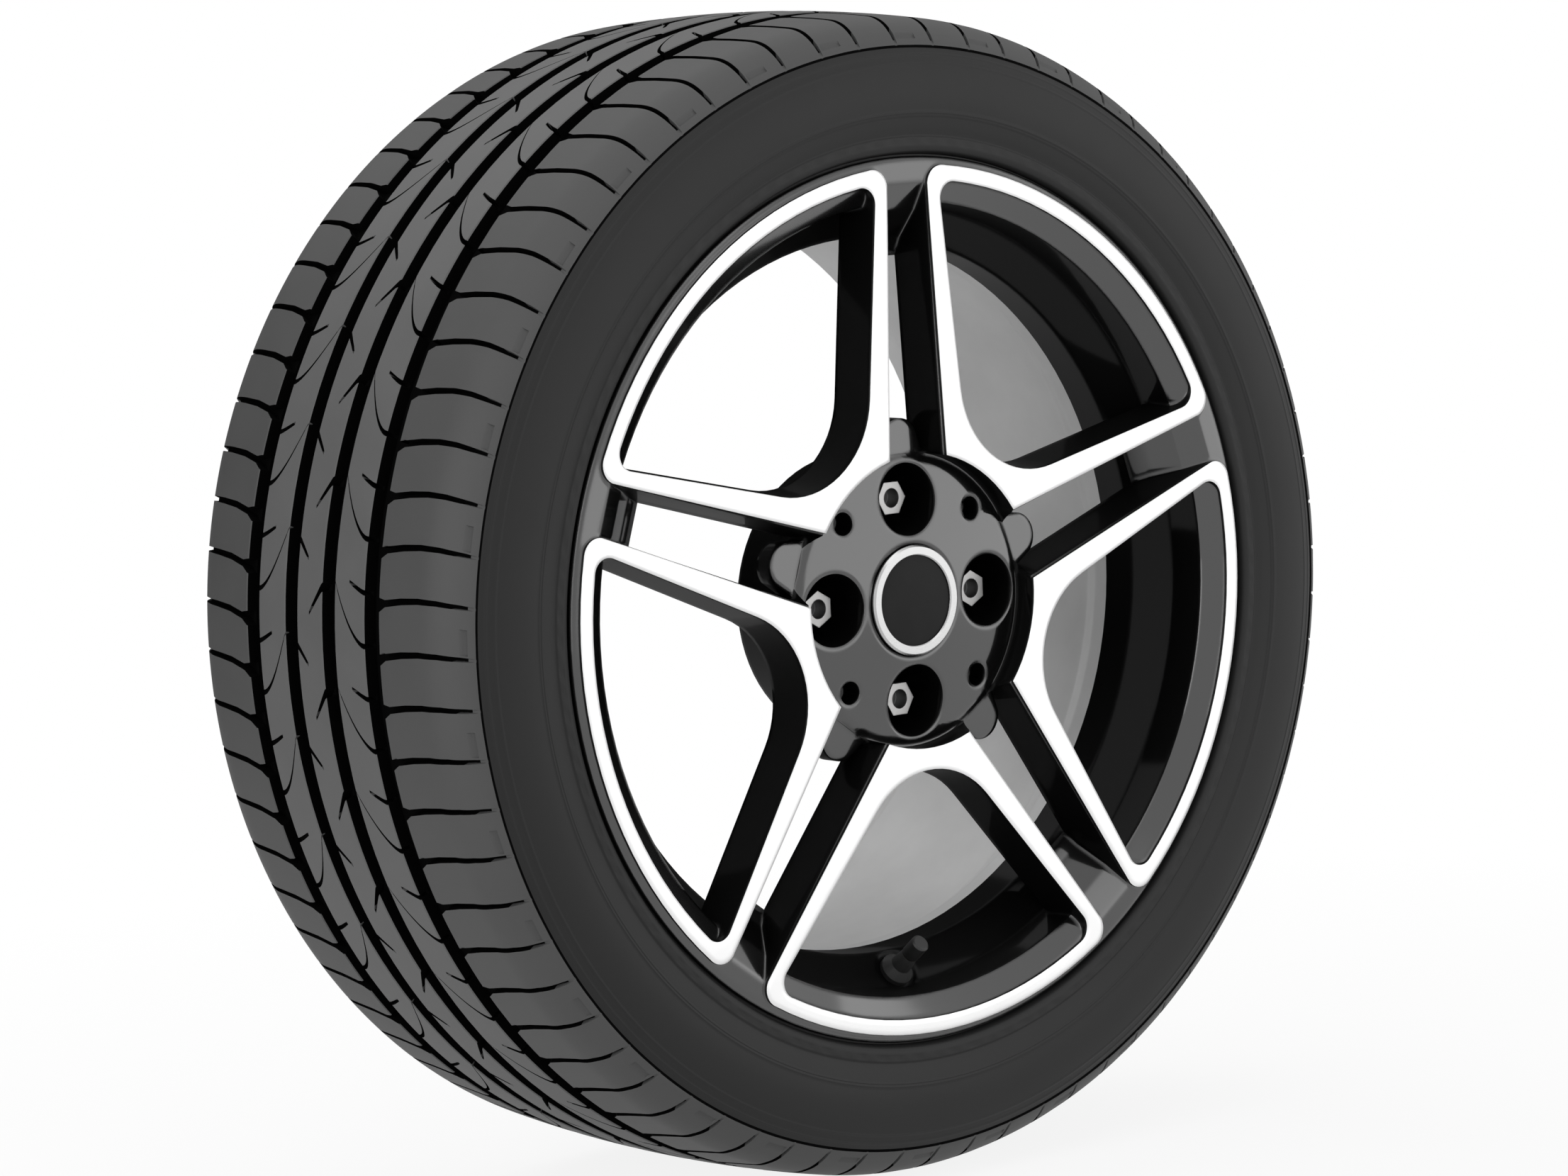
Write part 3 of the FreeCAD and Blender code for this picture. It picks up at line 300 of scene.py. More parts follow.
@dataclass(frozen=True)
class WheelFinish:
    """Finish of the casting: gloss black paint, machined loops and a satin inner barrel.

    Attributes:
        front: Y of the machined face, the foremost place of the casting.
        barrel_depth: Places deeper than this and outside barrel_radius are satin silver.
        barrel_radius: Radius from which the barrel is satin.
        gloss_depths: Between these depths the gloss paint turns into a dull one without its coat, a painted
            shade in the deep places.
        gloss_facing: Between these shares of facing forwards the dull paint turns into a gloss one; the dull
            paint that faces aside is a painted shade.
        line_pitch: Distance between two turning lines of the machined face.
        black: Linear level of the paint.
        silver: Linear level of the machined face.
        satin: Linear level of the barrel.
        edge: Radius by which edges are softened.
        name: Name of the material.
        skin: Depth behind the front within which the casting is machined.
        scales: Scales of the cloud and the speckle, in cycles per metre.
        silver_vary: Share by which the machined level varies over the cloud.
        satin_vary: Share by which the satin level varies.
        black_vary: Share by which the paint varies.
        satin_metal: Metallic value of the barrel.
        paint_gloss: Roughness of the gloss paint and of the dull paint.
        silver_gloss: Roughness of the machined face.
        satin_gloss: Roughness of the barrel.
        vary_gloss: Amount by which the roughness varies over the cloud.
        shade_coat_loss: Share of the clear coat that the dull paint lacks, which takes away its reflection
            as a painted shade.
        coat_gloss: Roughness of the clear coat.
        coat_index: Refractive index of the clear coat.
        shine: Level of the plain reflection under the coat.
        line_share: Share of the turning lines in the relief.
        speckle_share: Share of the speckle in the relief.
        relief: Depth of the relief.
    """

    front: float
    barrel_depth: float = 65.0 * MM
    barrel_radius: float = 170.0 * MM
    gloss_depths: tuple[float, float] = (18.0 * MM, 30.0 * MM)
    gloss_facing: tuple[float, float] = (0.35, 0.85)
    line_pitch: float = 0.5 * MM
    black: float = 0.0016
    silver: float = 0.84
    satin: float = 0.66
    edge: float = 4.0 * MM
    name: str = "wheel_paint"
    skin: float = 0.15 * MM
    scales: tuple[float, float] = (18.0, 900.0)
    silver_vary: float = 0.07
    satin_vary: float = 0.15
    black_vary: float = 0.2
    satin_metal: float = 0.12
    paint_gloss: tuple[float, float] = (0.22, 0.6)
    silver_gloss: float = 0.32
    satin_gloss: float = 0.42
    vary_gloss: float = 0.06
    shade_coat_loss: float = 0.9
    coat_gloss: float = 0.08
    coat_index: float = 1.86
    shine: float = 0.05
    line_share: float = 0.25
    speckle_share: float = 0.4
    relief: float = 0.00001

    def make(self, grain: bpy.types.NodeTree) -> bpy.types.Material:
        """Build the material.

        Args:
            grain: The shared grain group.

        Returns:
            The material with its three zones.
        """
        material, wiring, shader = new_material(self.name)
        source = wiring.add("ShaderNodeTexCoord").outputs
        place = source["Object"]
        split = wiring.add("ShaderNodeSeparateXYZ", {0: place}).outputs
        facing = wiring.add("ShaderNodeSeparateXYZ", {0: source["Normal"]}).outputs["Y"]
        flat = wiring.add("ShaderNodeCombineXYZ", {"X": split["X"], "Z": split["Z"]}).outputs[0]
        radius = wiring.add("ShaderNodeVectorMath", {0: flat}, operation="LENGTH").outputs["Value"]
        depth = wiring.math("SUBTRACT", split["Y"], self.front)
        machined = wiring.math("LESS_THAN", depth, self.skin)
        behind = wiring.math("GREATER_THAN", depth, self.barrel_depth)
        # Painted shade: paint that lies deep or faces aside turns rough and loses its clear coat, so that it
        # shows almost no reflection.
        deep = wiring.add("ShaderNodeMapRange", {"Value": depth, "From Min": self.gloss_depths[0],
                                                 "From Max": self.gloss_depths[1]}).outputs[0]
        aside = wiring.add("ShaderNodeMapRange", {"Value": facing, "From Min": -self.gloss_facing[1],
                                                  "From Max": -self.gloss_facing[0]}).outputs[0]
        dull_and_shaded = wiring.math("MAXIMUM", deep, aside)
        satin = wiring.math("MULTIPLY", behind, wiring.math("GREATER_THAN", radius, self.barrel_radius))
        noise = wiring.add_grain(grain, place, *self.scales)
        cloud = noise["Cloud"]
        bright = wiring.blend_colour(cloud, *spread(grey(self.silver), self.silver_vary))
        barrel = wiring.blend_colour(cloud, *spread(grey(self.satin), self.satin_vary))
        painted = wiring.blend_colour(cloud, *spread(grey(self.black), self.black_vary))
        colour = wiring.blend_colour(satin, wiring.blend_colour(machined, painted, bright), barrel)
        wiring.link(colour, shader, "Base Color")
        metal = wiring.math("ADD", machined, wiring.math("MULTIPLY", satin, self.satin_metal))
        wiring.link(metal, shader, "Metallic")
        paint_rough = wiring.blend(dull_and_shaded, *self.paint_gloss)
        face_rough = wiring.blend(machined, paint_rough, self.silver_gloss)
        rough = wiring.blend(satin, face_rough, self.satin_gloss)
        middle = wiring.math("SUBTRACT", rough, self.vary_gloss / 2)
        wiring.link(wiring.math("MULTIPLY_ADD", cloud, self.vary_gloss, middle), shader, "Roughness")
        bare = wiring.math("ADD", machined, satin, clamp=True)
        # The coat is taken off the machined face and the barrel, and, as a painted shade, off the dull
        # paint.
        plain = wiring.math("MAXIMUM", bare, wiring.math("MULTIPLY", dull_and_shaded, self.shade_coat_loss))
        wiring.link(wiring.math("SUBTRACT", 1.0, plain), shader, "Coat Weight")
        shader.inputs["Coat Roughness"].default_value = self.coat_gloss
        shader.inputs["Coat IOR"].default_value = self.coat_index
        shader.inputs["Specular IOR Level"].default_value = self.shine
        rings = wiring.math("SINE", wiring.math("MULTIPLY", radius, TURN / self.line_pitch))
        lines = wiring.math("MULTIPLY", wiring.math("MULTIPLY", rings, machined), self.line_share)
        height = wiring.math("ADD", lines, wiring.math("MULTIPLY", noise["Speckle"], self.speckle_share))
        soft = wiring.add("ShaderNodeBevel", {"Radius": self.edge}, samples=8).outputs[0]
        wiring.link(soft, shader, "Coat Normal")
        bump = wiring.add("ShaderNodeBump", {"Height": height, "Distance": self.relief, "Strength": 1.0,
                                             "Normal": soft})
        wiring.link(bump.outputs[0], shader, "Normal")
        return material


def ring_mesh(name: str, points: np.ndarray, materials: tuple[bpy.types.Material, ...],
              sunk: Optional[np.ndarray] = None, crease: float = 32.0) -> bpy.types.Object:
    """Make a piece from a grid of points that closes on itself both ways.

    The quads join each row to the next and each column to the next, and the last ones to the
    first. Their order is turned round where the enclosed volume comes out negative.

    Args:
        name: Name of the piece.
        points: Array of rows by columns by 3, in metres.
        materials: Finish of the outer faces and, where sunk is given, the painted shade of the faces that
            lie in cuts.
        sunk: How far each point lies in a cut, from 0 to 1.
        crease: Angle from which an edge is sharp, in degrees.

    Returns:
        The new object at the origin.
    """
    rows, columns = points.shape[:2]
    index = np.arange(rows * columns).reshape(rows, columns)
    below = np.roll(index, -1, 0)
    quads = np.stack([index, np.roll(index, -1, 1), np.roll(below, -1, 1), below], -1).reshape(-1, 4)
    flat = points.reshape(-1, 3)
    a, b, c, d = (flat[quads[:, k]] for k in range(4))
    volume = np.sum(a * np.cross(b, c)) + np.sum(a * np.cross(c, d))
    if volume < 0.0:
        quads = quads[:, ::-1]
    mesh = bpy.data.meshes.new(name)
    mesh.from_pydata(flat, [], quads)
    mesh.polygons.foreach_set("use_smooth", np.ones(len(quads), dtype=bool))
    mesh.set_sharp_from_angle(angle=math.radians(crease))
    for material in materials:
        mesh.materials.append(material)
    if sunk is not None:
        # Faces that lie in cuts take the second material, a painted shade.
        in_cut = sunk.ravel()[quads].mean(1) > IN_CUT
        mesh.polygons.foreach_set("material_index", in_cut.astype(np.int32))
    return new_object(name, mesh)


def smooth_line(points: np.ndarray, steps: int) -> np.ndarray:
    """Round a line of points: each span is a cubic whose end slopes come from the neighbours.

    Args:
        points: Array of points by 2.
        steps: Points taken from each span.

    Returns:
        The denser line, with the first and last point kept.
    """
    slope = np.gradient(points, axis=0)
    t = np.linspace(0.0, 1.0, steps, endpoint=False)[None, :, None]
    p, q, m, n = points[:-1, None], points[1:, None], slope[:-1, None], slope[1:, None]
    line = ((2 * t**3 - 3 * t**2 + 1) * p + (t**3 - 2 * t**2 + t) * m
            + (-2 * t**3 + 3 * t**2) * q + (t**3 - t**2) * n)
    return np.vstack([line.reshape(-1, 2), points[-1:]])


@dataclass(frozen=True)
class Cut:
    """A groove, sipe or notch of a tread ring, given at stations across the ring.

    Attributes:
        across: Stations across the tread, as distances from the middle of the tyre, in mm.
        along: Place of the cut's middle line along the tread at each station, in mm.
        half: Half of its width at each station, in mm.
        depth: Its depth at each station, in mm.
    """

    across: tuple[float, ...]
    along: tuple[float, ...]
    half: tuple[float, ...]
    depth: tuple[float, ...]

    def at(self, rows: np.ndarray) -> tuple[np.ndarray, np.ndarray, np.ndarray]:
        """Return the middle line, half width and depth over the rows of a ring."""
        return tuple(np.interp(rows, self.across, values) for values in (self.along, self.half, self.depth))

    def mirrored(self) -> "Cut":
        """Return the same cut on the other side of the tyre."""
        return Cut(tuple(-y for y in self.across[::-1]), self.along[::-1], self.half[::-1], self.depth[::-1])


@dataclass(frozen=True)
class Notch:
    """Shape of a slanted sipe or notch, before it is laid across a ring.

    Attributes:
        start: Place along the tread where its slant starts, in mm.
        slant: How far it runs along the tread, in mm.
        half: Half of its width where it is closed, in mm.
        widen: What its half width gains where it is open, in mm.
        depth: Its depth where it is closed, in mm.
        deepen: What its depth gains where it is open, in mm.
        opens_at: Share of opening up to which there is no cut yet.
        bend: Power by which the slant is bent.
    """

    start: float
    slant: float
    half: float
    widen: float
    depth: float
    deepen: float = 0.0
    opens_at: float = -1.0
    bend: float = 1.0

    def lay(self, across: np.ndarray, run: np.ndarray, opening: np.ndarray) -> Cut:
        """Lay the shape across a ring.

        Args:
            across: Stations across the tread, rising, in mm.
            run: Share of the slant at each station.
            opening: Share of widening and deepening at each station.

        Returns:
            The cut.
        """
        along = self.slant * run**self.bend + self.start
        half = self.half + self.widen * opening
        depth = np.where(opening > self.opens_at, self.depth + self.deepen * opening, 0.0)
        return Cut(tuple(across), tuple(along), tuple(half), tuple(depth))


@dataclass
class TreadRing:
    """One ring of the tread between two main grooves, cut by a repeated set of cuts.

    A point of the ring is R(y) less the depth of the cut it lies in, at the angle of its column.
    Columns follow the flanks of the cuts, so that each flank is a clean line.

    Attributes:
        name: Name of the piece.
        edges: Where the ring starts and ends across the tread, in mm, signed.
        cuts: The cuts of one tile, in order along the tread.
        rows: Stations across the ring that the cuts need.
        tiles: Number of tiles round the tyre.
        phase: Shift of the tiles, as a share of one tile.
        flank: Width of a cut's sloping side, in mm.
        fill: Columns between two cuts.
        soft: Width of the rounded edge, in mm.
        edge_drop: Fall of the rounded edge, in mm.
        root: How far the ring reaches below the groove floor, in mm.
        root_gap: Least height of a cut's floor above the root, in mm.
        painted_shade_from: Depth from which a cut counts as sunk and starts to take the painted shade, in
            mm.
        painted_shade_over: Depth over which it comes to be fully sunk and fully in the painted shade, in mm.
    """

    name: str
    edges: tuple[float, float]
    cuts: list[Cut]
    rows: list[float]
    tiles: int = 36
    phase: float = 0.0
    flank: float = 0.35
    fill: int = 3
    soft: float = 0.6
    edge_drop: float = 0.5
    root: float = 1.5
    root_gap: float = 0.2
    painted_shade_from: float = 0.6
    painted_shade_over: float = 2.4

    def points(self, tread: "Tyre") -> tuple[np.ndarray, np.ndarray]:
        """Work out the grid of the ring.

        Args:
            tread: The tyre that gives the crown and the groove depth.

        Returns:
            Array of rows by columns by 3, in metres, and how far each point is sunk, which is the mask of
            the painted shade in the cuts.
        """
        low, high = self.edges
        start, end = low + self.soft, high - self.soft
        inner = np.array(sorted({y for y in self.rows if start < y < end}))
        stations = np.concatenate([[low, low, start], inner, [end, high, high]])
        drop = np.zeros(len(stations))
        drop[[1, -2]] = self.edge_drop
        pitch = TURN * tread.radius / self.tiles
        lines, depths = [], []
        cut_lines = [cut.at(stations) for cut in self.cuts]
        for number, (along, half, depth) in enumerate(cut_lines):
            after = cut_lines[(number + 1) % len(cut_lines)]
            gap_start = along + half + self.flank
            gap_end = after[0] - after[1] - self.flank + (pitch if number + 1 == len(cut_lines) else 0.0)
            lines += [along - half - self.flank, along - half, along + half, gap_start]
            depths += [np.zeros_like(depth), depth, depth, np.zeros_like(depth)]
            for step in range(1, self.fill + 1):
                lines.append(gap_start + (gap_end - gap_start) * step / (self.fill + 1))
                depths.append(np.zeros_like(depth))
        tile = np.stack(lines, 1)
        sunk = np.tile(np.stack(depths, 1), (1, self.tiles))
        along = (tile[:, None, :] + pitch * np.arange(self.tiles)[None, :, None]).reshape(len(stations), -1)
        angle = along / tread.radius + self.phase * TURN / self.tiles
        crown = tread.crown(stations)[:, None]
        radius = crown - drop[:, None] - sunk
        floor = crown - tread.groove_depth - self.root
        base = np.zeros(len(stations), dtype=bool)
        base[[0, -1]] = True
        radius = np.where(base[:, None], floor, np.maximum(radius, floor + self.root_gap))
        across = np.broadcast_to(stations[:, None], radius.shape)
        # How far a point is sunk, from 0 to 1: the mask of the painted shade in the cuts.
        deep = np.clip((crown - radius - self.painted_shade_from) / self.painted_shade_over, 0.0, 1.0)
        return np.stack([radius * np.sin(angle), across, radius * np.cos(angle)], -1) * MM, deep


@dataclass
class Tyre:
    """The tyre: a carcass with its side walls and groove floors, and five tread rings.

    Lengths are in mm. A place across the tyre is a distance from its middle.

    Attributes:
        radius: Outer radius.
        crown_drop: Fall of the crown from the middle to crown_half.
        crown_half: Half width of the crown.
        fall_from: Place across the tyre where the round fall of the shoulder starts.
        fall: Fall of the shoulder at its end.
        fall_power: Power by which the shoulder falls.
        shoulder_end: Place across the tyre where the shoulder ring ends.
        groove_depth: Depth of the main grooves.
        centre_edge: Place across the tyre where the centre rib ends.
        rib_edges: Places across the tyre between which the next rib lies.
        shoulder_edge: Place across the tyre where the shoulder ring starts.
        columns: Points round the carcass.
        ticks: Ticks round the ridge beside the flange.
        side_points: Side wall from the shoulder to the flange, as places across and radii.
        side_steps: Points taken from each span of the side wall.
        bead_points: Bead and inner side of the tyre, as places across and radii.
        rings_at: Radii of the fine rings on the side wall.
        ring_rows: Distances from the middle of a fine ring at which it has rows of points.
        ring_half: Half width of a fine ring.
        ring_height: Height of a fine ring.
        floor_stations: Places across the tyre of the rows of the groove floor.
        floor_half: Place across the tyre up to which the carcass is groove floor.
        floor_from: Radius from which the carcass is groove floor.
        liner_radius: Radius of the inside under the middle of the tread.
        ridge_radius: Radius of the ticked ridge.
        ridge_half: Half width of the ticked ridge.
        ridge_from: Place across the tyre beyond which the ridge lies.
        tick_depth: Depth of a tick.
    """

    radius: float = 313.9
    crown_drop: float = 5.0
    crown_half: float = 100.0
    fall_from: float = 90.0
    fall: float = 14.2
    fall_power: float = 2.4
    shoulder_end: float = 115.4
    groove_depth: float = 7.8
    centre_edge: float = 10.8
    rib_edges: tuple[float, float] = (21.8, 46.2)
    shoulder_edge: float = 58.0
    columns: int = 480
    ticks: int = 120
    side_points: tuple[tuple[float, float], ...] = (
        (112.0, 294.2), (115.0, 293.2), (117.4, 289.2), (119.6, 283.4), (121.2, 276.8), (122.1, 270.0),
        (122.2, 264.0), (121.5, 257.5), (120.2, 251.6), (119.0, 247.9), (118.7, 246.6), (119.3, 245.4),
        (119.5, 243.6), (119.3, 241.4), (118.7, 239.6), (117.8, 238.3), (115.8, 237.2), (113.9, 236.7))
    side_steps: int = 4
    bead_points: tuple[tuple[float, float], ...] = (
        (113.9, 223.4), (109.7, 218.8), (98.0, 217.9), (98.0, 227.3), (101.9, 238.0), (113.4, 268.0),
        (94.0, 293.0))
    rings_at: tuple[float, ...] = (289.6, 284.9, 258.6, 256.9)
    ring_rows: tuple[float, ...] = (-0.7, -0.3, 0.3, 0.7)
    ring_half: float = 0.5
    ring_height: float = 0.30
    floor_stations: tuple[float, ...] = (104.0, 90.0, 75.0, 60.0, 45.0, 30.0, 15.0, 0.0)
    floor_half: float = 110.0
    floor_from: float = 290.0
    liner_radius: float = 299.0
    ridge_radius: float = 243.6
    ridge_half: float = 1.6
    ridge_from: float = 117.0
    tick_depth: float = 0.45

    def crown(self, across: np.ndarray) -> np.ndarray:
        """Return the radius of the tread: a parabola, then a round fall over the shoulder."""
        y = np.abs(across)
        share = np.minimum(y, self.crown_half) / self.crown_half
        edge = np.clip((y - self.fall_from) / (self.shoulder_end - self.fall_from), 0.0, 1.0)
        return self.radius - self.crown_drop * share**2 - self.fall * edge**self.fall_power

    def carcass_points(self) -> tuple[np.ndarray, np.ndarray]:
        """Work out the carcass: one closed section turned round Y, with fine rings and ticks.

        Returns:
            Array of rows by columns by 3, in metres, and 1 where a point is on a groove's floor, which takes
            the painted shade of the cuts.
        """
        smooth = smooth_line(np.array(self.side_points), self.side_steps)[::-1]
        rings = np.array(self.rings_at)
        ring_rows = (rings[:, None] + np.array(self.ring_rows)).ravel()
        radii = np.sort(np.concatenate([smooth[:, 1], ring_rows]))
        lines = np.exp(-((radii[:, None] - rings) / self.ring_half) ** 4).sum(1)
        wall = np.interp(radii, smooth[:, 1], smooth[:, 0]) + self.ring_height * lines
        floor_y = np.array(self.floor_stations)
        floor = np.stack([floor_y, self.crown(floor_y) - self.groove_depth], 1)
        half = np.vstack([np.array(self.bead_points)[::-1], np.stack([wall, radii], 1), floor])
        section = np.vstack([half, (half * [-1.0, 1.0])[::-1][1:], [[0.0, self.liner_radius]]])
        y, reach = section[:, :1], section[:, 1:]
        angle = np.arange(self.columns) * TURN / self.columns
        wave = 0.5 + 0.5 * np.sign(np.sin(angle * self.ticks))
        ridge = np.exp(-((reach - self.ridge_radius) / self.ridge_half) ** 4) * (np.abs(y) > self.ridge_from)
        across = y - np.sign(y) * self.tick_depth * ridge * wave
        radius = np.broadcast_to(reach, across.shape)
        # The groove floors take the painted shade of the cuts.
        on_floor = np.broadcast_to((np.abs(y) < self.floor_half) & (reach > self.floor_from), across.shape)
        return np.stack([radius * np.sin(angle), across, radius * np.cos(angle)], -1) * MM, on_floor

    def shoulder(self, side: Side) -> TreadRing:
        """Return a shoulder ring: two arched lateral grooves a tile, and edge lines outside.

        Args:
            side: Side of the tyre that the ring lies on.

        Returns:
            The ring.
        """
        first, last = self.shoulder_edge, self.shoulder_end
        outer = side is Side.OUTER
        half_pitch = TURN * self.radius / TreadRing.tiles / 2
        places = (first, first + 5.0, 75.0, 88.0, 100.0, 110.5, 111.0, 112.6, 113.1, last)
        arch = ((0.0, 1.0, 2.6, 3.4, 3.0, 1.6, 1.5, 1.2, 1.1, 0.6) if outer
                else (0.0, 1.4, 4.4, 6.0, 7.0, 7.4, 7.4, 7.4, 7.4, 7.4))
        width = (3.6, 1.5, 1.4, 1.25, 1.1, 0.9, 0.9, 0.8, 0.8, 0.6)
        deep = (5.6, 6.0, 6.0, 5.4, 4.4, 2.4, 2.2, 1.4, 1.2, 0.2)
        cuts = [Cut(places, tuple(a + shift for a in arch), width, deep) for shift in (0.0, half_pitch)]
        if outer:
            line_from, line_to, line_depth, line_half, line_shift = 110.9, 112.7, 1.1, 6.6, 9.0
            line = tuple(line_depth if line_from < y < line_to else 0.0 for y in places)
            middle = tuple(a + line_shift for a in arch)
            cuts.insert(1, Cut(places, middle, (line_half,) * len(places), line))
            cuts = [cut.mirrored() for cut in cuts]
        rows = [side.value * y for y in (*np.linspace(first, last, 22), *places)]
        return TreadRing(f"tread_shoulder_{side.name.lower()}", self.signed(first, last, side), cuts, rows,
                         phase=0.0 if outer else 0.25)

    def rib(self, side: Side) -> TreadRing:
        """Return a rib ring: long curved sipes from the outer groove and short notches.

        Args:
            side: Side of the tyre that the ring lies on.

        Returns:
            The ring.
        """
        first, last = self.rib_edges
        places = np.linspace(first, last, 13)
        share = (places - first) / (last - first)
        shapes = (Notch(0.0, 33.0, half=0.25, widen=0.85, depth=2.2, deepen=4.6, bend=1.7),
                  Notch(27.4, 12.0, half=0.3, widen=0.75, depth=5.5, opens_at=0.52, bend=1.2))
        cuts = [shape.lay(places, 1.0 - share, share) for shape in shapes]
        if side is Side.OUTER:
            cuts = [cut.mirrored() for cut in cuts]
        return TreadRing(f"tread_rib_{side.name.lower()}", self.signed(first, last, side), cuts,
                         list(side.value * places), phase=0.1 if side is Side.OUTER else 0.55)

    def centre_rib(self) -> TreadRing:
        """Return the centre ring: slanted notches from both of its grooves in turn."""
        edge = self.centre_edge
        places = np.linspace(-edge, edge, 13)
        front = np.clip(-places / edge, 0.0, 1.0)
        rear = np.clip(places / edge, 0.0, 1.0)
        fore = Notch(-2.0, 14.0, half=0.8, widen=1.3, depth=6.4, opens_at=0.05)
        back = Notch(24.0, 12.0, half=0.7, widen=0.8, depth=6.0, opens_at=0.3)
        cuts = [fore.lay(places, front, front), back.lay(places, rear, rear)]
        return TreadRing("tread_centre", (-edge, edge), cuts, list(places), phase=0.4)

    @staticmethod
    def signed(first: float, last: float, side: Side) -> tuple[float, float]:
        """Return the edges of a ring in rising order, from its distances on one side."""
        return (-last, -first) if side is Side.OUTER else (first, last)

    def build(self, ribs: bpy.types.Material, shoulders: bpy.types.Material, wall: bpy.types.Material,
              cuts: bpy.types.Material) -> None:
        """Make the carcass and the five tread rings in place of the plain tyre.

        Args:
            ribs: Finish of the three rings in the middle, drawn lighter than the wall: a painted light on
                the crown.
            shoulders: Finish of the two outer rings: the same rubber drawn darker than the ribs, a painted
                shade on the shoulders.
            wall: Finish of the carcass.
            cuts: Painted shade of the grooves, sipes, notches and groove floors: a darker, duller rubber for
                the shade that falls in them.
        """
        points, floor = self.carcass_points()
        carcass = ring_mesh("tyre_carcass", points, (wall, cuts), floor, crease=40.0)
        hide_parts("tyre")
        pieces = [carcass]
        rings = [(self.rib(Side.OUTER), ribs), (self.centre_rib(), ribs), (self.rib(Side.INNER), ribs),
                 (self.shoulder(Side.OUTER), shoulders), (self.shoulder(Side.INNER), shoulders)]
        for ring, rubber in rings:
            points, deep = ring.points(self)
            pieces.append(ring_mesh(ring.name, points, (rubber, cuts), deep))
        for piece in pieces:
            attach(piece, "wheel")
            LOG.info("%s: %d triangles", piece.name, 2 * len(piece.data.polygons))


@dataclass
class CapDisc:
    """The dark disc of the centre cap: a smooth bare dome.

    Attributes:
        rise: Height of the dome, in mm.
        hole: Radius at which the grid ends on the axis, in mm.
        columns: Points round the disc.
    """

    rise: float = 1.3
    hole: float = 0.02
    columns: int = 192

    def build(self, material: bpy.types.Material) -> None:
        """Make the disc in place of the plain one, within its box.

        Args:
            material: Finish of the disc.
        """
        low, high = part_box("cap_disc")
        radius = high.x / MM
        # The rows lie closer towards the edge, where the dome falls fastest.
        share = np.concatenate([np.linspace(0.0, 0.8, 17), np.linspace(0.82, 0.98, 33), [1.0]])
        front = low.y / MM + self.rise * share**2
        face = np.stack([np.maximum(share * radius, self.hole), front], 1)
        back = np.array([[radius, high.y / MM], [self.hole, high.y / MM]])
        section = np.vstack([face, back])
        angle = np.arange(self.columns) * TURN / self.columns
        reach = section[:, :1]
        depth = np.broadcast_to(section[:, 1:], (len(section), self.columns))
        points = np.stack([reach * np.sin(angle), depth, reach * np.cos(angle)], -1) * MM
        disc = ring_mesh("cap_dome", points, (material,))
        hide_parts("cap_disc")
        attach(disc, "wheel")
        LOG.info("%s: %d triangles", disc.name, 2 * len(disc.data.polygons))


@dataclass
class CoilSpring:
    """The coil spring of the valve core in round wire, drawn at one length; the real one shortens as the pin
    is pushed in.

    Attributes:
        wire: Thickness of the wire, in mm.
        turns: Turns of the coil.
        steps: Points along one turn.
        sides: Points round the wire.
    """

    wire: float = 0.35
    turns: int = 5
    steps: int = 36
    sides: int = 12

    def build(self, material: bpy.types.Material, inward: np.ndarray) -> None:
        """Make the coil in place of the plain one, between the core and the collar of the pin.

        Args:
            material: Finish of the wire.
            inward: Direction in which the pin is pushed, in the row frame.
        """
        low, high = (np.array(corner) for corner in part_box("valve_spring"))
        outward = -inward / np.linalg.norm(inward)
        across = np.array([1.0, 0.0, 0.0])
        upward = np.cross(outward, across)
        half = self.wire * MM / 2
        radius = high[0] - half
        length = (high[1] - low[1] - 2 * high[0] * abs(outward[2])) / abs(outward[1])
        start = (low + high) / 2 - outward * length / 2
        count = self.turns * self.steps + 1
        angle = np.linspace(0.0, self.turns * TURN, count)[:, None, None]
        rise = np.linspace(half, length - half, count)[:, None, None]
        around = (np.arange(self.sides) * TURN / self.sides)[None, :, None]
        spoke = np.cos(angle) * across + np.sin(angle) * upward
        points = start + spoke * (radius + half * np.cos(around)) + outward * (rise + half * np.sin(around))
        index = np.arange(count * self.sides).reshape(count, self.sides)
        ahead = np.roll(index, -1, 1)
        quads = np.stack([index[:-1], index[1:], ahead[1:], ahead[:-1]], -1).reshape(-1, 4)
        faces = quads.tolist() + [index[0].tolist(), index[-1][::-1].tolist()]
        mesh = bpy.data.meshes.new("coil_wire")
        mesh.from_pydata(points.reshape(-1, 3).tolist(), [], faces)
        mesh.materials.append(material)
        mesh.shade_smooth()
        coil = new_object("coil_wire", mesh)
        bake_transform(coil)
        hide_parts("valve_spring")
        LOG.info("%s: %d faces", coil.name, len(faces))


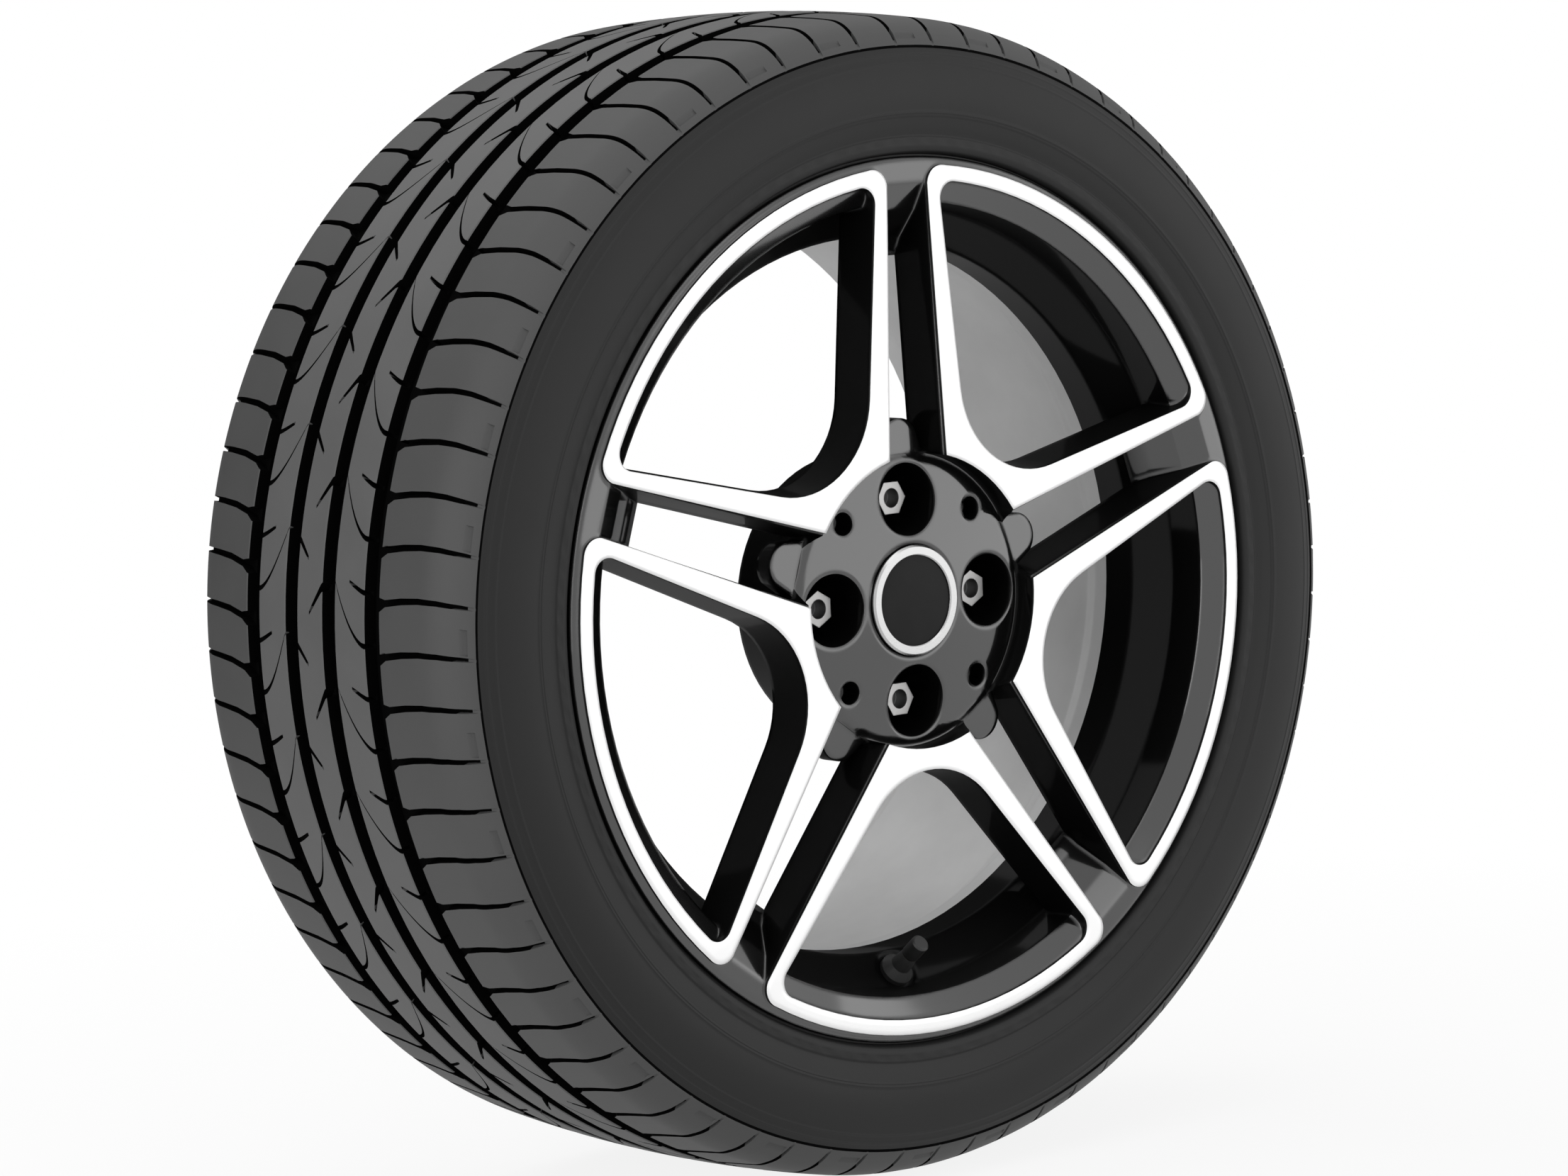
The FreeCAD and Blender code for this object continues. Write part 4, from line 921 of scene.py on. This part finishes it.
@dataclass
class Metalwork:
    """The casting, bolts, centre cap and valve: CAD nodes that keep their shape.

    Attributes:
        casting: Finish of the casting.
        bolts: Finish of the wheel bolts.
        ring: Finish of the cap's trim ring.
        disc: Finish of the cap's disc.
        plastic: Finish of the cap's body and of the dust cap.
        spring: Finish of the two springs.
        rubber: Finish of the valve body and of the seals.
        brass: Finish of the valve's stem, core and pin.
    """

    casting: WheelFinish
    bolts: Finish
    ring: Finish = Finish("cap_ring_chrome", level=0.46, metal=1.0, gloss=0.22, vary=0.05, coarse=120.0,
                          round=0.0005)
    disc: Finish = Finish("cap_disc_lacquer", level=0.020, gloss=0.42, shine=0.06, coarse=90.0)
    plastic: Finish = Finish("moulded_plastic", level=0.012, gloss=0.42, coarse=150.0, round=0.0004)
    spring: Finish = Finish("spring_wire", level=0.45, metal=1.0, gloss=0.32, coarse=300.0)
    rubber: Finish = Finish("moulded_rubber", level=0.018, gloss=0.6, coarse=200.0, relief=0.00003)
    brass: Finish = Finish("turned_brass", tint=(0.66, 0.47, 0.20), metal=1.0, gloss=0.28, coarse=300.0)

    def dress(self, nodes: dict, grain: bpy.types.NodeTree) -> dict:
        """Give each CAD node its finish.

        Args:
            nodes: Node name to object.
            grain: The shared grain group.

        Returns:
            The materials, by the name of their finish.
        """
        plan = {
            "alloy_wheel": self.casting, "wheel_bolts": self.bolts, "cap_ring": self.ring,
            "cap_body": self.plastic, "valve_cap": self.plastic, "cap_spring": self.spring,
            "valve_body": self.rubber, "valve_seal": self.rubber, "valve_cap_seal": self.rubber,
            "valve_stem": self.brass, "valve_core": self.brass, "valve_pin": self.brass,
        }
        made: dict = {}
        for name, finish in plan.items():
            if finish.name not in made:
                made[finish.name] = finish.make(grain)
            material = made[finish.name]
            slots = nodes[name].data.materials
            slots.clear()
            slots.append(material)
            LOG.info("%s: %s", name, material.name)
        return made


@dataclass(frozen=True)
class SoftBox:
    """A lamp that looks at the wheel.

    Attributes:
        name: Name of the lamp.
        place: Where it hangs, in metres.
        size: Its width and height, in metres.
        level: Brightness of its face, where 1 is white.
        mirrored: Whether reflections show it.
    """

    name: str
    place: tuple[float, float, float]
    size: tuple[float, float]
    level: float
    mirrored: bool = True

    def hang(self) -> None:
        """Put the lamp into the scene."""
        data = bpy.data.lights.new(self.name, "AREA")
        data.shape = "RECTANGLE"
        data.size, data.size_y = self.size
        data.energy = self.level * math.pi * self.size[0] * self.size[1]
        lamp = new_object(self.name, data)
        lamp.location = self.place
        lamp.rotation_euler = (-Vector(self.place)).to_track_quat("-Z", "Y").to_euler()
        lamp.visible_glossy = self.mirrored


@dataclass
class Studio:
    """Floor, world, lamps and camera.

    Attributes:
        face_y: Place along the axis that the camera stands off from.
        azimuth: Angle of the camera round the wheel, in degrees.
        elevation: Angle of the camera above the wheel's axis, in degrees.
        distance: Distance of the camera from the middle of the wheel's face, in metres.
        aside: Shift of the camera to the right and up, in metres.
        spin: Turn of the wheel in the picture, which the camera takes up, in degrees.
        lens: Focal length, in mm.
        film: Width of the film, in mm.
        floor_z: Height of the floor, in metres.
        floor_half: Half of the floor's width, in metres.
        paper: Linear level of the floor.
        fade_reach: Distances from the middle between which the floor fades into white, in metres.
        fade_from: Share of white at the nearer distance.
        world_light: Strength of the light that comes from all round.
        boxes: The lamps.
        cards: Name and middle of each black card, in metres.
        card_size: Width and height of a card, in metres.
    """

    face_y: float
    azimuth: float = -39.93
    elevation: float = 4.20
    distance: float = 3.151
    aside: tuple[float, float] = (-0.0755, 0.00707)
    spin: float = 3.25
    lens: float = 136.38
    film: float = 36.0
    floor_z: float = -0.3142
    floor_half: float = 8.0
    paper: float = 0.85
    fade_reach: tuple[float, float] = (0.3, 1.1)
    fade_from: float = 0.86
    world_light: float = 0.45
    boxes: tuple[SoftBox, ...] = (
        SoftBox("front_box", (1.30, -1.90, 0.20), (2.7, 2.2), 1.12),
        SoftBox("top_box", (-0.4, -0.6, 2.4), (2.2, 1.8), 1.0),
        SoftBox("tread_box", (-2.4, -0.5, 0.5), (1.4, 1.8), 2.6),
        SoftBox("rear_box", (-0.1, 1.7, 2.1), (1.8, 1.4), 3.2, mirrored=False))
    cards: tuple[tuple[str, tuple[float, float, float]], ...] = (
        ("card_left", (-0.77, 0.92, 0.0)), ("card_right", (0.77, 0.92, 0.0)))
    card_size: float = 1.9

    def place_camera(self) -> None:
        """Stand the camera where the picture was taken, rolled by the wheel's turn."""
        a, e = math.radians(self.azimuth), math.radians(self.elevation)
        back = Vector((math.sin(a) * math.cos(e), -math.cos(a) * math.cos(e), math.sin(e)))
        right = Vector((math.cos(a), math.sin(a), 0.0))
        up = back.cross(right)
        stand = back * self.distance + right * self.aside[0] + up * self.aside[1]
        stand.y += self.face_y
        turn = Matrix.Rotation(math.radians(self.spin), 4, "Y")
        data = bpy.data.cameras.new("camera")
        data.lens = self.lens
        data.sensor_width = self.film
        data.sensor_fit = "HORIZONTAL"
        camera = new_object("camera", data)
        axes = Matrix((right, up, back)).transposed().to_4x4()
        camera.matrix_world = turn @ Matrix.Translation(stand) @ axes
        bpy.context.scene.camera = camera

    def make_world(self) -> None:
        """White for the camera and for reflections, a soft grey for the light itself."""
        world = bpy.data.worlds.new("studio")
        world.use_nodes = True
        bpy.context.scene.world = world
        wiring = Wiring(world.node_tree)
        shader = world.node_tree.nodes["Background"]
        shader.inputs["Color"].default_value = grey(1.0)
        wiring.link(wiring.blend(wiring.seen(), self.world_light, 1.0), shader, "Strength")

    def make_floor(self) -> None:
        """A pale floor under the tyre that fades into the background and keeps a faint shadow."""
        mesh = bpy.data.meshes.new("floor")
        size, z = self.floor_half, self.floor_z
        corners = [(-size, -size, z), (size, -size, z), (size, size, z), (-size, size, z)]
        mesh.from_pydata(corners, [], [(0, 1, 2, 3)])
        floor = new_object("floor", mesh)
        material, wiring, shader = new_material("floor_paper")
        nodes = material.node_tree.nodes
        nodes.remove(shader)
        paper = wiring.add("ShaderNodeBsdfDiffuse", {"Color": grey(self.paper)})
        glow = wiring.add("ShaderNodeEmission", {"Color": grey(1.0), "Strength": 1.0})
        place = wiring.add("ShaderNodeTexCoord").outputs["Object"]
        reach = wiring.add("ShaderNodeVectorMath", {0: place}, operation="LENGTH").outputs["Value"]
        fade = wiring.add("ShaderNodeMapRange", {"Value": reach, "From Min": self.fade_reach[0],
                                                 "From Max": self.fade_reach[1],
                                                 "To Min": self.fade_from, "To Max": 1.0})
        share = wiring.math("MULTIPLY", wiring.seen(), fade.outputs[0])
        mix = wiring.add("ShaderNodeMixShader", {0: share, 1: paper.outputs[0], 2: glow.outputs[0]})
        wiring.link(mix.outputs[0], nodes["Material Output"], "Surface")
        mesh.materials.append(material)

    def stand_card(self, name: str, place: tuple[float, float, float]) -> None:
        """Stand a black card that only reflections see, square to the wheel.

        Args:
            name: Name of the card.
            place: Its middle, in metres.
        """
        middle = Vector(place)
        back = middle.normalized()
        right = Vector((0.0, 0.0, 1.0)).cross(back).normalized() * self.card_size / 2
        up = back.cross(right.normalized()) * self.card_size / 2
        corners = [middle - right - up, middle + right - up, middle + right + up, middle - right + up]
        mesh = bpy.data.meshes.new(name)
        mesh.from_pydata([tuple(corner) for corner in corners], [], [(0, 1, 2, 3)])
        material, _, shader = new_material(name)
        shader.inputs["Base Color"].default_value = grey(0.0)
        shader.inputs["Specular IOR Level"].default_value = 0.0
        mesh.materials.append(material)
        card = new_object(name, mesh)
        card.visible_camera = False
        card.visible_diffuse = False
        card.visible_transmission = False
        card.visible_shadow = False

    def build(self) -> None:
        """Set up the whole studio."""
        self.place_camera()
        self.make_world()
        self.make_floor()
        for box in self.boxes:
            box.hang()
        for name, place in self.cards:
            self.stand_card(name, place)
        bpy.context.scene.view_settings.view_transform = "Standard"


def main() -> None:
    """Build the studio, the tyre and the finishes."""
    logging.basicConfig(level=logging.INFO, format="%(name)s %(message)s")
    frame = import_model()
    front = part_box("alloy_wheel")[0].y
    stand_off = 1.5 * MM
    Studio(front - stand_off).build()
    grain = make_grain_group()
    # The tread rubber is drawn far lighter than the wall rubber, a painted light on the crown; the shoulders
    # take the same rubber drawn darker, a painted shade.
    ribs = Finish("tread_rubber_painted_light", level=0.095, gloss=0.65, vary=0.12, coarse=26.0, fine=1500.0,
                  relief=0.00004)
    shoulders = replace(ribs, name="shoulder_rubber_painted_shade", level=0.058)
    wall = Finish("wall_rubber", level=0.010, gloss=0.58, vary=0.10, coarse=22.0, fine=1900.0,
                  relief=0.00003, shine=0.3)
    # The groove rubber is a painted shade: far darker and duller than the wall, for the shade that falls in
    # the cuts.
    cuts = replace(wall, name="groove_painted_shade", level=0.0012, gloss=0.9, shine=0.04)
    Tyre().build(ribs.make(grain), shoulders.make(grain), wall.make(grain), cuts.make(grain))
    # The bolts are drawn darker behind their front rim: a painted shade inside the lug holes.
    bolt_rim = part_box("wheel_bolts")[0].y + 0.8 * MM
    bolts = Finish("bolt_zinc", level=0.36, warm=0.01, metal=1.0, gloss=0.36, coarse=220.0, fine=2600.0,
                   round=0.0006, shade_from=bolt_rim, shade_level=0.24)
    metalwork = Metalwork(WheelFinish(front), bolts)
    made = metalwork.dress(frame["nodes"], grain)
    CapDisc().build(metalwork.disc.make(grain))
    joints = {joint["name"]: joint for joint in frame["record"]["behaviour"]["joints"]}
    CoilSpring().build(made[metalwork.spring.name], np.array(joints["core_pin_press"]["axis"]))


if __name__ == "__main__":
    main()
